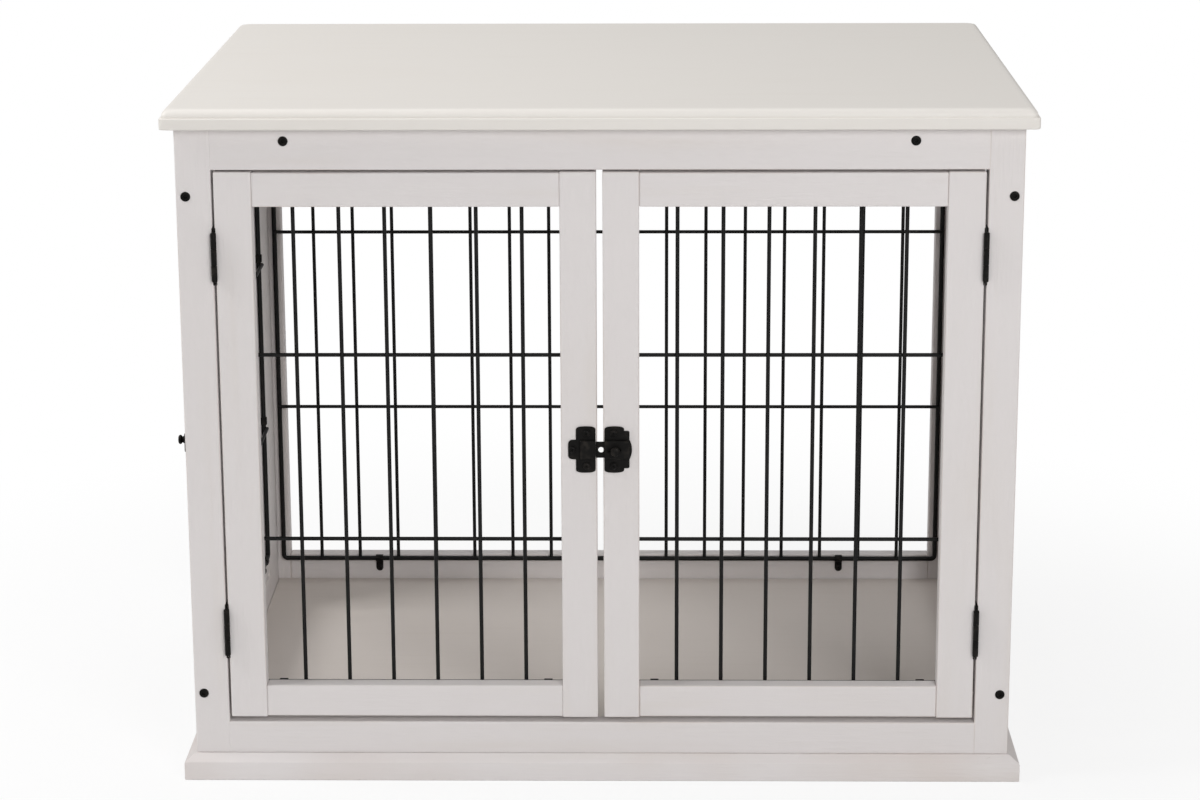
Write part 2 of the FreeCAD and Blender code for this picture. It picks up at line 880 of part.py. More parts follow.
def bind_radius(sketch, arc, value):
    """Ties the radius of an arc to the sheet."""
    number = sketch.addConstraint(Sketcher.Constraint("Radius", arc, float(value)))
    sketch.setExpression(f"Constraints[{number}]", text_of(value))


def add_arc(sketch, start, crown, end):
    """An arc through three points, always kept counter-clockwise."""
    turn = (crown - start).cross(end - crown).z
    first, last = (start, end) if turn > 0 else (end, start)
    sketch.addGeometry(Part.Arc(first, crown, last))


def edge_ends(sketch, index, start):
    """The numbers of an edge's first and last point, when it is followed from a start point."""
    forwards = (sketch.Geometry[index].StartPoint - start).Length < 1e-6
    return (1, 2) if forwards else (2, 1)


# ---------------------------------------------------------------- latches
# A latch is laid out with X along its bolt from the middle of the gap, Y up and Z off the timber.


def latch_plate(name, side, channel_reach, arm_round, shouldered, slotted):
    """A pressed latch plate with a raised channel for the bolt."""
    body = DOC.addObject("PartDesign::Body", name)
    start = L.latch_start * side
    flat = sketch_on(body, name + "_outline", "XY_Plane")
    latch_outline(flat, side, shouldered)
    plate = pad(body, name + "_plate", flat, S.latch_plate)
    arm_end = abs(float(start + S.latch_arm_reach * side))
    fillet_edges(
        body, name + "_arm_round", plate, arm_round, lambda edge: stands_at(edge, arm_end)
    )
    end = start + channel_reach * side
    half = S.latch_channel_height / 2
    raised = sketch_on(body, name + "_channel_outline", "XY_Plane")
    rectangle(raised, start, -half, end, half)
    channel = pad(body, name + "_channel", raised, S.latch_channel_room + S.latch_plate)
    top = float(S.latch_channel_room + S.latch_plate)
    fillet_edges(
        body, name + "_channel_round", channel, S.latch_plate,
        lambda edge: lies_at(edge, top) and not mouth_edge(edge, float(start)),
    )
    room = half - S.latch_plate
    hollow = sketch_on(body, name + "_hollow_outline", "XY_Plane")
    rectangle(hollow, start - side, -room, end - S.latch_plate * side, room)
    pocket(body, name + "_hollow", hollow, S.latch_channel_room, backwards=True)
    if slotted:
        knob_slot(body, name)
    return body


def latch_outline(sketch, side, shouldered):
    """The plate's outline: bowed above and below, with an arm away from the gap."""
    start = L.latch_start * side
    main = start + S.latch_main_width * side
    arm_end = start + S.latch_arm_reach * side
    arm = S.latch_arm_height / 2
    half = S.latch_main_straight / 2
    upper = [(start, half), (main, half)]
    if shouldered:
        step = main + S.latch_shoulder_width * side
        top = S.latch_shoulder_height / 2
        upper += [(main, top), (step, top), (step, arm), (arm_end, arm)]
    else:
        upper += [(main, arm), (arm_end, arm)]
    points = upper + [(x, -y) for x, y in reversed(upper)]
    last = len(points) - 2
    bulge = S.latch_main_height / 2
    middle = (start + main) / 2
    bowed_outline(sketch, points, {0: (middle, bulge), last: (middle, -bulge)})


def bowed_outline(sketch, points, crowns):
    """A closed outline through bound points, where some edges bow out to a crown."""
    corners = [FreeCAD.Vector(float(x), float(y), 0) for x, y in points]
    count = len(points)
    for index in range(count):
        start, end = corners[index], corners[(index + 1) % count]
        if index in crowns:
            x, y = crowns[index]
            add_arc(sketch, start, FreeCAD.Vector(float(x), float(y), 0), end)
        else:
            sketch.addGeometry(Part.LineSegment(start, end))
    ends = [edge_ends(sketch, index, corners[index]) for index in range(count)]
    for index, (x, y) in enumerate(points):
        after = (index + 1) % count
        sketch.addConstraint(
            Sketcher.Constraint("Coincident", index, ends[index][1], after, ends[after][0])
        )
        bind_point(sketch, index, ends[index][0], x, y)
    chord = S.latch_main_width
    rise = (S.latch_main_height - S.latch_main_straight) / 2
    for index in crowns:
        bind_radius(sketch, index, (chord * chord / 4 + rise * rise) / (rise * 2))


def stands_at(edge, distance):
    """True for an upright edge at a distance from the middle of the gap."""
    first, last = edge.Vertexes[0], edge.Vertexes[-1]
    upright = abs(first.Z - last.Z) > 1e-6
    return upright and abs(abs(first.X) - distance) < 1e-6


def lies_at(edge, height):
    """True for an edge that lies at one height."""
    return all(abs(vertex.Z - height) < 1e-6 for vertex in edge.Vertexes)


def mouth_edge(edge, x):
    """True for an edge across the channel's open end."""
    return all(abs(vertex.X - x) < 1e-6 for vertex in edge.Vertexes)


def knob_slot(body, name):
    """The slot in the channel's roof that the knob's neck slides along."""
    radius = S.knob_neck / 2 + S.knob_slot_play
    low = S.knob_place - S.bolt_lock_travel - radius
    high = S.knob_place + S.bolt_open_travel + radius
    slot = sketch_on(body, name + "_slot_outline", "XY_Plane", S.latch_channel_room - S.latch_plate)
    rectangle(slot, low, -radius, high, radius)
    pocket(body, name + "_slot", slot, S.latch_plate * 3, backwards=True)


def latch_bolt(label, pose):
    """The sliding bolt: a flat slide with a rimmed hole and a turned knob riveted into it."""
    slide = DOC.addObject("PartDesign::Body", label + "_slide")
    nose = S.bolt_nose_past_gap - S.gap_latch / 2
    half = S.bolt_plate_width / 2
    flat = sketch_on(slide, label + "_outline", "XY_Plane", S.bolt_plate_lift)
    rectangle(flat, nose, -half, S.bolt_tail, half)
    plate = pad(slide, label + "_plate", flat, S.bolt_plate_thickness)
    fillet_edges(
        slide, label + "_nose_round", plate, S.bolt_nose_round,
        lambda edge: stands_at(edge, abs(float(nose))),
    )
    hole = nose + S.bolt_hole_place
    rim = sketch_on(slide, label + "_rim_outline", "XY_Plane", S.bolt_plate_lift)
    circle(rim, hole, 0, S.bolt_hole_diameter / 2 + S.bolt_rim_width)
    pad(slide, label + "_rim", rim, S.bolt_plate_thickness + S.bolt_rim_height)
    bore = sketch_on(slide, label + "_bore_outline", "XY_Plane")
    circle(bore, hole, 0, S.bolt_hole_diameter / 2)
    pocket(slide, label + "_bore", bore)
    return node(label, pose.object(joined(label, [slide, latch_knob(label + "_knob")])))


def latch_knob(name):
    """The knob of a bolt, turned about its neck."""
    body = DOC.addObject("PartDesign::Body", name)
    neck = S.knob_neck / 2
    radius = S.knob_diameter / 2
    low = S.knob_underside
    rise = S.knob_top - low
    foot = S.bolt_plate_lift + S.bolt_plate_thickness / 4
    section = sketch_on(body, name + "_section", "XZ_Plane")
    outline(section, [
        (0, foot), (neck, foot), (neck, low), (radius * 0.72, low),
        (radius * 0.8, low + rise * 0.2), (radius * 0.62, low + rise * 0.36),
        (radius, low + rise * 0.56), (radius, low + rise * 0.8),
        (radius * 0.74, low + rise * 0.95), (radius * 0.4, S.knob_top), (0, S.knob_top),
    ])
    turned = body.newObject("PartDesign::Revolution", name + "_turned")
    turned.Profile = section
    turned.ReferenceAxis = (section, ["V_Axis"])
    turned.Angle = 360
    place(body, S.knob_place, 0, 0)
    DOC.recompute()
    return body


def latch_screws(pose, side, with_arm):
    """The screws of one plate."""
    x = (L.latch_start + S.latch_screw_place) * side
    spots = [((x, S.latch_screw_rise * sign, S.latch_plate), (0, 0, 1)) for sign in (-1, 1)]
    if with_arm:
        spots.append((((L.latch_start + S.latch_arm_screw) * side, 0, S.latch_plate), (0, 0, 1)))
    return pose.spots(spots)


FRONT_LATCH = Pose((0, L.front, S.latch_level), (1, 0, 0), (0, -1, 0))
SIDE_LATCH = Pose((-L.side, L.side_gap_middle, S.latch_level), (0, -1, 0), (-1, 0, 0))
LATCH_SCREWS = {
    "left_door": latch_screws(FRONT_LATCH, -1, True),
    "right_door": latch_screws(FRONT_LATCH, 1, False),
    "side_door": latch_screws(SIDE_LATCH, -1, True),
    "frame": latch_screws(SIDE_LATCH, 1, False),
}


# ---------------------------------------------------------------- panels and their clips

DOOR_LEVELS = (S.door_wire_low, S.door_wire_high)
WALL_LEVELS = (S.wall_wire_low, S.wall_wire_high)
CLIP_LEVELS = (S.clip_low, S.clip_high)


def door_panel(start, end, uprights):
    """The panel of a door whose timber runs from start to end."""
    return PanelSize(
        start + S.door_stile, end - S.door_stile, L.door_low + S.door_rail,
        L.door_high - S.door_rail, uprights, DOOR_LEVELS,
    )


def wall_panel(start, end, uprights):
    """The panel of a wall frame round an opening."""
    return PanelSize(start, end, L.opening_low, L.opening_high, uprights, WALL_LEVELS)


PANELS = {
    "left_door": door_panel(-L.door_outer, -L.door_inner, 6),
    "right_door": door_panel(L.door_inner, L.door_outer, 6),
    "side_door": door_panel(L.side_door_front, L.side_door_rear, 7),
    "rear": wall_panel(-L.opening_half, L.opening_half, 16),
    "right": wall_panel(L.side_opening_front, L.side_opening_rear, 9),
}


class PanelPlace:
    """Where a panel hangs: the timber's face, the panel's run and the way into the crate."""

    def __init__(self, panel, face, along_x, inwards, turn):
        self.size = PANELS[panel]
        self.turn = turn
        self.along_x = along_x
        self.face_point = self.point(face)
        self.centre = self.point(face + L.rod_plane * inwards)
        self.run_axis = (1, 0, 0) if along_x else (0, 1, 0)
        self.into_room = (0, inwards, 0) if along_x else (inwards, 0, 0)

    def point(self, through):
        """The panel's middle, at a depth through the wall."""
        if self.along_x:
            return (self.size.run_centre, through, self.size.rise_centre)
        return (through, self.size.run_centre, self.size.rise_centre)

    def panel(self, label):
        """The wire panel."""
        return wire_panel(label, self.size, self.centre, self.turn)

    def clips(self, gap, levels):
        """The clips that hold it, those on the rails in a gap counted from the panel's sides."""
        size = self.size
        places = (-size.gap_middle(gap), size.gap_middle(gap))
        return ClipLine(
            self.face_point, self.run_axis, self.into_room, size.half_run, size.half_rise,
            places, levels,
        )


DOOR_FACE = L.front + S.door_thickness
PLACES = {
    "left_door": PanelPlace("left_door", DOOR_FACE, True, 1, 0),
    "right_door": PanelPlace("right_door", DOOR_FACE, True, 1, 0),
    "side_door": PanelPlace("side_door", S.door_thickness - L.side, False, 1, -90),
    "rear": PanelPlace("rear", L.rear_inner, True, -1, 180),
    "right": PanelPlace("right", L.side_inner, False, -1, 90),
}
DOORS = ("left_door", "right_door", "side_door")
CLIP_GAPS = {"door": 1, "rear": 3, "right": 2}
CLIPS = {door: PLACES[door].clips(CLIP_GAPS["door"], CLIP_LEVELS) for door in DOORS}
CLIPS["rear"] = PLACES["rear"].clips(CLIP_GAPS["rear"], ())
CLIPS["right"] = PLACES["right"].clips(CLIP_GAPS["right"], CLIP_LEVELS)


def hinge_screw_spots(door, on_door):
    """The screws of one leaf of both of a door's hinges."""
    return [spot for pose in DOOR_HINGES[door] for spot in pose.spots(HINGE.screw_spots(on_door))]


PAN_SPOTS = {door: CLIPS[door].screw_spots() + LATCH_SCREWS[door] for door in DOORS}
PAN_SPOTS["frame"] = (
    CLIPS["rear"].screw_spots() + CLIPS["right"].screw_spots() + LATCH_SCREWS["frame"]
)
HINGE_SPOTS = {door: hinge_screw_spots(door, True) for door in DOORS}
HINGE_SPOTS["frame"] = [spot for door in DOORS for spot in hinge_screw_spots(door, False)]


def all_holes():
    """Every hole that a fastener needs, in the crate's layout."""
    pairs = [(PAN_SCREW, spots) for spots in PAN_SPOTS.values()]
    pairs += [(HINGE_SCREW, spots) for spots in HINGE_SPOTS.values()]
    pairs += [
        (FRAME_BOLT, bolt_spots()),
        (BARREL_NUT, nut_spots()),
        (TOP_SCREW, top_screw_spots()),
        (PLINTH_SCREW, plinth_screw_spots()),
    ]
    return [fastener.hole(spot) for fastener, spots in pairs for spot in spots]


HOLES = all_holes()


# ---------------------------------------------------------------- timber


class Frame:
    """A stile-and-rail frame between two planes, along X or along Y, with stub tenons."""

    def __init__(self, along_x, run, through, rise, rail_step=0):
        self.along_x = along_x
        self.start, self.end = run
        self.near, self.far = through
        self.low, self.high = rise
        self.rail_step = rail_step

    def corner(self, run, through, z):
        """A corner point, whichever way the frame runs."""
        return (run, through, z) if self.along_x else (through, run, z)

    def stile(self, label, start, end, mortises):
        """An upright with its mortises."""
        low = self.corner(start, self.near, self.low)
        high = self.corner(end, self.far, self.high)
        bar = eased(block(label + "_bar", low, high), 2)
        pockets = DOC.addObject("Part::Compound", label + "_mortises")
        pockets.Links = mortises
        shape = DOC.addObject("Part::Cut", label + "_mortised")
        shape.Base = bar
        shape.Tool = pockets
        DOC.recompute()
        return node(label, cut(label, shape, HOLES))

    def rail(self, label, start, end, low, high):
        """A rail with a tenon at each end; its outer face can stand back from the stiles'."""
        near = self.near + self.rail_step
        box = block(label + "_bar", self.corner(start, near, low), self.corner(end, self.far, high))
        bar = eased(box, 0 if self.along_x else 1)
        tenons = [
            self.tenon(label + "_tenon", start - S.tenon_length, start, low, high, 0),
            self.tenon(label + "_tenon", end, end + S.tenon_length, low, high, 0),
        ]
        return node(label, cut(label, joined(label + "_tenoned", [bar] + tenons), HOLES))

    def tenon(self, name, start, end, low, high, play):
        """A tenon's block, or its mortise when it has play."""
        middle = (self.near + self.far) / 2
        half = S.tenon_thickness / 2 + play
        foot = low + S.tenon_shoulder - play
        head = high - S.tenon_shoulder + play
        return block(
            name,
            self.corner(start - play, middle - half, foot),
            self.corner(end + play, middle + half, head),
        )

    def build(self, stiles, rails):
        """Two stiles and the rails between them, each given as its label and its size."""
        (first, first_width), (last, last_width) = stiles
        inner_start = self.start + first_width
        inner_end = self.end - last_width
        for label, low, high in rails:
            self.rail(label, inner_start, inner_end, low, high)
        for label, start, end, joint, depth in (
            (first, self.start, inner_start, inner_start - S.tenon_length, inner_start),
            (last, inner_end, self.end, inner_end, inner_end + S.tenon_length),
        ):
            mortises = [
                self.tenon(label + "_mortise", joint, depth, low, high, S.mortise_play)
                for _, low, high in rails
            ]
            self.stile(label, start, end, mortises)


def wall_rails(prefix):
    """The top and bottom rail of a wall frame."""
    return (
        (prefix + "top_rail", L.opening_high, L.top_low),
        (prefix + "bottom_rail", L.frame_low, L.opening_low),
    )


def build_walls():
    """The front, rear and side frames."""
    across = (-L.side, L.side)
    along = (L.front_inner, L.rear_inner)
    rise = (L.frame_low, L.top_low)
    front = Frame(True, across, (L.front, L.front_inner), rise)
    front.build(
        (("front_stile_left", S.stile_width), ("front_stile_right", S.stile_width)),
        wall_rails("front_"),
    )
    rear = Frame(True, across, (L.rear_inner, L.rear), rise)
    rear.build(
        (("rear_stile_left", S.stile_width), ("rear_stile_right", S.stile_width)),
        wall_rails("rear_"),
    )
    merge("rear_stiles", ("rear_stile_left", "rear_stile_right"))
    for name, near, far in (
        ("left_side_", -L.side, -L.side_inner), ("right_side_", L.side_inner, L.side),
    ):
        Frame(False, along, (near, far), rise).build(
            ((name + "front_stile", S.side_front_stile), (name + "rear_stile", S.side_rear_stile)),
            wall_rails(name),
        )


def build_door_frame(door):
    """The two stiles and two rails of a door."""
    rise = (L.door_low, L.door_high)
    hinge = (door + "_hinge_stile", S.door_stile)
    latch = (door + "_latch_stile", S.door_stile)
    rails = (
        (door + "_top_rail", L.door_high - S.door_rail, L.door_high - S.door_rail_step),
        (door + "_bottom_rail", L.door_low + S.door_rail_step, L.door_low + S.door_rail),
    )
    if door == "side_door":
        run = (L.side_door_front, L.side_door_rear)
        through = (-L.side, S.door_thickness - L.side)
        stiles = (latch, hinge)
    elif door == "left_door":
        run = (-L.door_outer, -L.door_inner)
        through = (L.front, DOOR_FACE)
        stiles = (hinge, latch)
    else:
        run = (L.door_inner, L.door_outer)
        through = (L.front, DOOR_FACE)
        stiles = (latch, hinge)
    Frame(door != "side_door", run, through, rise, S.door_rail_step).build(stiles, rails)


def merge(label, labels):
    """Two matching pieces kept under one name, as separate solids."""
    pair = DOC.addObject("Part::Compound", label)
    pair.Links = [NODES.pop(name) for name in labels]
    DOC.recompute()
    return node(label, pair)


def build_table_top():
    """The top: a square-edged lower part and, past a small step, a rounded upper part."""
    body = DOC.addObject("PartDesign::Body", "table_top_board")
    half_x = S.top_width / 2
    half_y = S.top_depth / 2
    lower = sketch_on(body, "table_top_lower", "XY_Plane")
    rectangle(lower, -half_x, -half_y, half_x, half_y)
    pad(body, "table_top_edge", lower, S.top_face)
    upper = sketch_on(body, "table_top_upper", "XY_Plane", S.top_face)
    inset_x = half_x - S.top_step
    inset_y = half_y - S.top_step
    rectangle(upper, -inset_x, -inset_y, inset_x, inset_y)
    board = pad(body, "table_top_face", upper, S.top_thickness - S.top_face)
    height = float(S.top_thickness)
    fillet_edges(
        body, "table_top_rounding", board, S.top_round, lambda edge: lies_at(edge, height)
    )
    place(body, 0, 0, L.top_low)
    DOC.recompute()
    node("table_top", cut("table_top", body, HOLES))


def plinth_piece(name, half_length, origin, turn):
    """A mitred moulding: a bevelled face outside and a ledge for the floor board inside.

    Its own X runs along it, and its own -Y points out of the crate.
    """
    body = DOC.addObject("PartDesign::Body", name)
    out = S.plinth_overhang
    ledge = S.frame_thickness + S.plinth_shelf
    profile = sketch_on(body, name + "_profile", "YZ_Plane")
    outline(profile, [
        (ledge, 0), (ledge, S.plinth_height), (S.plinth_slope - out, S.plinth_height),
        (-out, S.plinth_face), (-out, 0),
    ])
    pad(body, name + "_bar", profile, (half_length + out) * 2, midplane=True)
    mitres = sketch_on(body, name + "_mitres", "XY_Plane")
    beyond = S.plinth_face
    for side in (-1, 1):
        tip = (half_length + out + beyond) * side
        root = (half_length - ledge - beyond) * side
        outline(mitres, [(tip, -out - beyond), (tip, ledge + beyond), (root, ledge + beyond)])
    pocket(body, name + "_mitre_cuts", mitres)
    place(body, *origin, turn)
    DOC.recompute()
    return node(name, cut(name, body, HOLES))


def build_plinth():
    """The four mouldings that the frames stand on."""
    plinth_piece("plinth_front", L.side, (0, L.front, 0), 0)
    plinth_piece("plinth_rear", L.side, (0, L.rear, 0), 180)
    plinth_piece("plinth_left", L.rear, (-L.side, 0, 0), -90)
    plinth_piece("plinth_right", L.rear, (L.side, 0, 0), 90)
    merge("plinth_sides", ("plinth_left", "plinth_right"))


def build_floor_and_bearers():
    """The floor board on the plinth's ledge, and the bearers that carry the top."""
    play = S.floor_play
    low = (play - L.side_inner, L.front_inner + play, L.frame_low)
    high = (L.side_inner - play, L.rear_inner - play, L.frame_low + S.floor_thickness)
    node("floor_panel", block("floor_panel", low, high))
    half = S.bearer_section / 2
    for side in (-1, 1):
        middle = S.bearer_place * side
        low = (middle - half, L.front_inner, L.top_low - S.bearer_section)
        high = (middle + half, L.rear_inner, L.top_low)
        label = "top_bearer_left" if side < 0 else "top_bearer_right"
        bar = eased(block(label + "_bar", low, high), 1)
        node(label, cut(label, bar, HOLES))
    merge("top_bearers", ("top_bearer_left", "top_bearer_right"))


# ---------------------------------------------------------------- hardware


def build_fasteners():
    """The bolts, nuts and screws, grouped by kind and by the piece that carries them."""
    bolts = bolt_spots()
    through = Part.makeCompound([FRAME_BOLT.hole(spot) for spot in bolts])
    group("frame_bolts", [FRAME_BOLT.solid(spot) for spot in bolts])
    group("barrel_nuts", [BARREL_NUT.solid(spot).cut(through) for spot in nut_spots()])
    wood = [TOP_SCREW.solid(spot) for spot in top_screw_spots()]
    wood += [PLINTH_SCREW.solid(spot) for spot in plinth_screw_spots()]
    group("wood_screws", wood)
    for owner in DOORS + ("frame",):
        screws = [PAN_SCREW.solid(spot) for spot in PAN_SPOTS[owner]]
        screws += [HINGE_SCREW.solid(spot) for spot in HINGE_SPOTS[owner]]
        group(owner + "_screws", screws)


def build_hinges():
    """The leaves of each door, the leaves of the posts, and the pins."""
    fixed = HINGE.leaf(False)
    swinging = HINGE.leaf(True)
    poses = [pose for door in DOORS for pose in DOOR_HINGES[door]]
    group("frame_hinge_leaves", [pose.shape(fixed) for pose in poses])
    group("hinge_pins", [pose.shape(HINGE.pin()) for pose in poses])
    for door in DOORS:
        group(door + "_hinge_leaves", [pose.shape(swinging) for pose in DOOR_HINGES[door]])


def build_latches():
    """The keeper, housing and bolt of the front latch and of the side latch."""
    for keeper, housing, bolt, pose in (
        ("latch_keeper", "latch_housing", "latch_bolt", FRONT_LATCH),
        ("side_latch_keeper", "side_latch_housing", "side_latch_bolt", SIDE_LATCH),
    ):
        plain = latch_plate(
            keeper + "_pressing", -1, S.keeper_channel_reach, S.keeper_arm_round, False, False
        )
        slotted = latch_plate(
            housing + "_pressing", 1, S.housing_channel_reach, S.housing_arm_round, True, True
        )
        node(keeper, cut(keeper, pose.object(plain), HOLES))
        node(housing, cut(housing, pose.object(slotted), HOLES))
        latch_bolt(bolt, pose)


def build_panels():
    """The five wire panels and their clips."""
    for door in DOORS:
        PLACES[door].panel(door + "_wire_panel")
        group(door + "_wire_clips", CLIPS[door].clips())
    PLACES["rear"].panel("rear_wire_panel")
    PLACES["right"].panel("right_wire_panel")
    group("frame_wire_clips", CLIPS["rear"].clips() + CLIPS["right"].clips())


def check_objects():
    """Stops when any object failed to build."""
    for thing in DOC.Objects:
        if "Invalid" in thing.State or "Error" in thing.State:
            raise RuntimeError(f"{thing.Name} did not build")


def write_parts():
    """Writes every named piece to its own file."""
    os.makedirs("parts", exist_ok=True)
    for label, thing in NODES.items():
        shape = thing.Shape
        if shape.isNull() or not shape.isValid():
            raise RuntimeError(f"{label} has no valid shape")
        shape.exportStep(f"parts/{label}.step")


build_plinth()
build_walls()
build_floor_and_bearers()
build_table_top()
for door_name in DOORS:
    build_door_frame(door_name)
build_panels()
build_hinges()
build_latches()
build_fasteners()
DOC.recompute()
check_objects()
write_parts()
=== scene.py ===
"""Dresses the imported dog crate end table: painted timber, coated wire, hinges and slide latches.

Everything is in metres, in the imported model's frame: X along the front, Y from the double doors to
the back, Z up, and the origin on the floor under the middle of the top. Pieces take their places
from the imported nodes, and the small sizes that the nodes don't tell are fields of the classes.
"""

from __future__ import annotations

import json
import logging
import math
from dataclasses import dataclass, field
from enum import Enum
from typing import Iterable, Sequence, Union

import bpy
from mathutils import Matrix, Vector

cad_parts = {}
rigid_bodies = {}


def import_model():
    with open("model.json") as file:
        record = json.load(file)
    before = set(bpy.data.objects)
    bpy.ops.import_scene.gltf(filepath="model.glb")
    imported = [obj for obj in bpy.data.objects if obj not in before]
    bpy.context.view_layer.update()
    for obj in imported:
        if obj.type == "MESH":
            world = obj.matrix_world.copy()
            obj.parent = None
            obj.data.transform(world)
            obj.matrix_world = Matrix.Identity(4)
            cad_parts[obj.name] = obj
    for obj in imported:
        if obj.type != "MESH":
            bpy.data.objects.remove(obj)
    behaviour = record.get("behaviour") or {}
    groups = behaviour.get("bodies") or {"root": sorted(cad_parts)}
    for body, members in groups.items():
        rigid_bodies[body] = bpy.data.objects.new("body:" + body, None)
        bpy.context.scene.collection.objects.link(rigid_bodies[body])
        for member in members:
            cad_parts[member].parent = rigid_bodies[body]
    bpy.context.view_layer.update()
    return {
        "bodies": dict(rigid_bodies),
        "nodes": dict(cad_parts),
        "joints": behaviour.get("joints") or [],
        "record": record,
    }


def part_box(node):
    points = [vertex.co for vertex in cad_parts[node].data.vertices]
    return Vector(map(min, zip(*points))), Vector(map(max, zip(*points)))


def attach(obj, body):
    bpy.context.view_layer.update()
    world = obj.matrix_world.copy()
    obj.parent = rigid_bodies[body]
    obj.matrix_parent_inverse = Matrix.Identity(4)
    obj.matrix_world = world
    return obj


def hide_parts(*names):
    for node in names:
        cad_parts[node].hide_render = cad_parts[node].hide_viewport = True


LOG = logging.getLogger("crate")
Colour = tuple[float, float, float]
Point = tuple[float, float]
Span = tuple[float, float]
Spot = tuple[float, float, float]
Value = Union["Signal", float, tuple]
UP = Vector((0.0, 0.0, 1.0))
NOWHERE = Vector((0.0, 0.0, 0.0))
PAST = 0.001  # how far a cutting tool reaches past what it cuts
KEEN = 0.00001  # the softening of a tool that cuts a sharp edge


@dataclass(frozen=True)
class Cloud:
    """Cloudy noise: its frequency, how many finer layers it has and how strong they are."""

    scale: float
    detail: float = 3.0
    rough: float = 0.5


# ---------------------------------------------------------------- shader maths


class Signal:
    """A value, colour or vector on its way from one shader node to the next."""

    def __init__(self, graph: "Graph", socket: bpy.types.NodeSocket) -> None:
        """Wraps an output socket of a graph."""
        self.graph = graph
        self.socket = socket

    def _maths(self, operation: str, first: Value, second: Value = 0.0) -> "Signal":
        """A Math node on two values."""
        return self.graph.node("ShaderNodeMath", {"operation": operation}, {0: first, 1: second})

    def __add__(self, other: Value) -> "Signal":
        """self + other."""
        return self._maths("ADD", self, other)

    def __radd__(self, other: Value) -> "Signal":
        """other + self."""
        return self._maths("ADD", other, self)

    def __sub__(self, other: Value) -> "Signal":
        """self - other."""
        return self._maths("SUBTRACT", self, other)

    def __rsub__(self, other: Value) -> "Signal":
        """other - self."""
        return self._maths("SUBTRACT", other, self)

    def __mul__(self, other: Value) -> "Signal":
        """self * other."""
        return self._maths("MULTIPLY", self, other)

    def __pow__(self, other: Value) -> "Signal":
        """self ** other."""
        return self._maths("POWER", self, other)

    def between(self, low: float, high: float) -> "Signal":
        """Rises from 0 to 1 as the value goes from low to high, and stays there.

        Args:
            low: The value that gives 0.
            high: The value that gives 1.

        Returns:
            The smoothed mask.
        """
        settings = {"interpolation_type": "SMOOTHSTEP"}
        inputs = {"Value": self, "From Min": low, "From Max": high}
        return self.graph.node("ShaderNodeMapRange", settings, inputs)


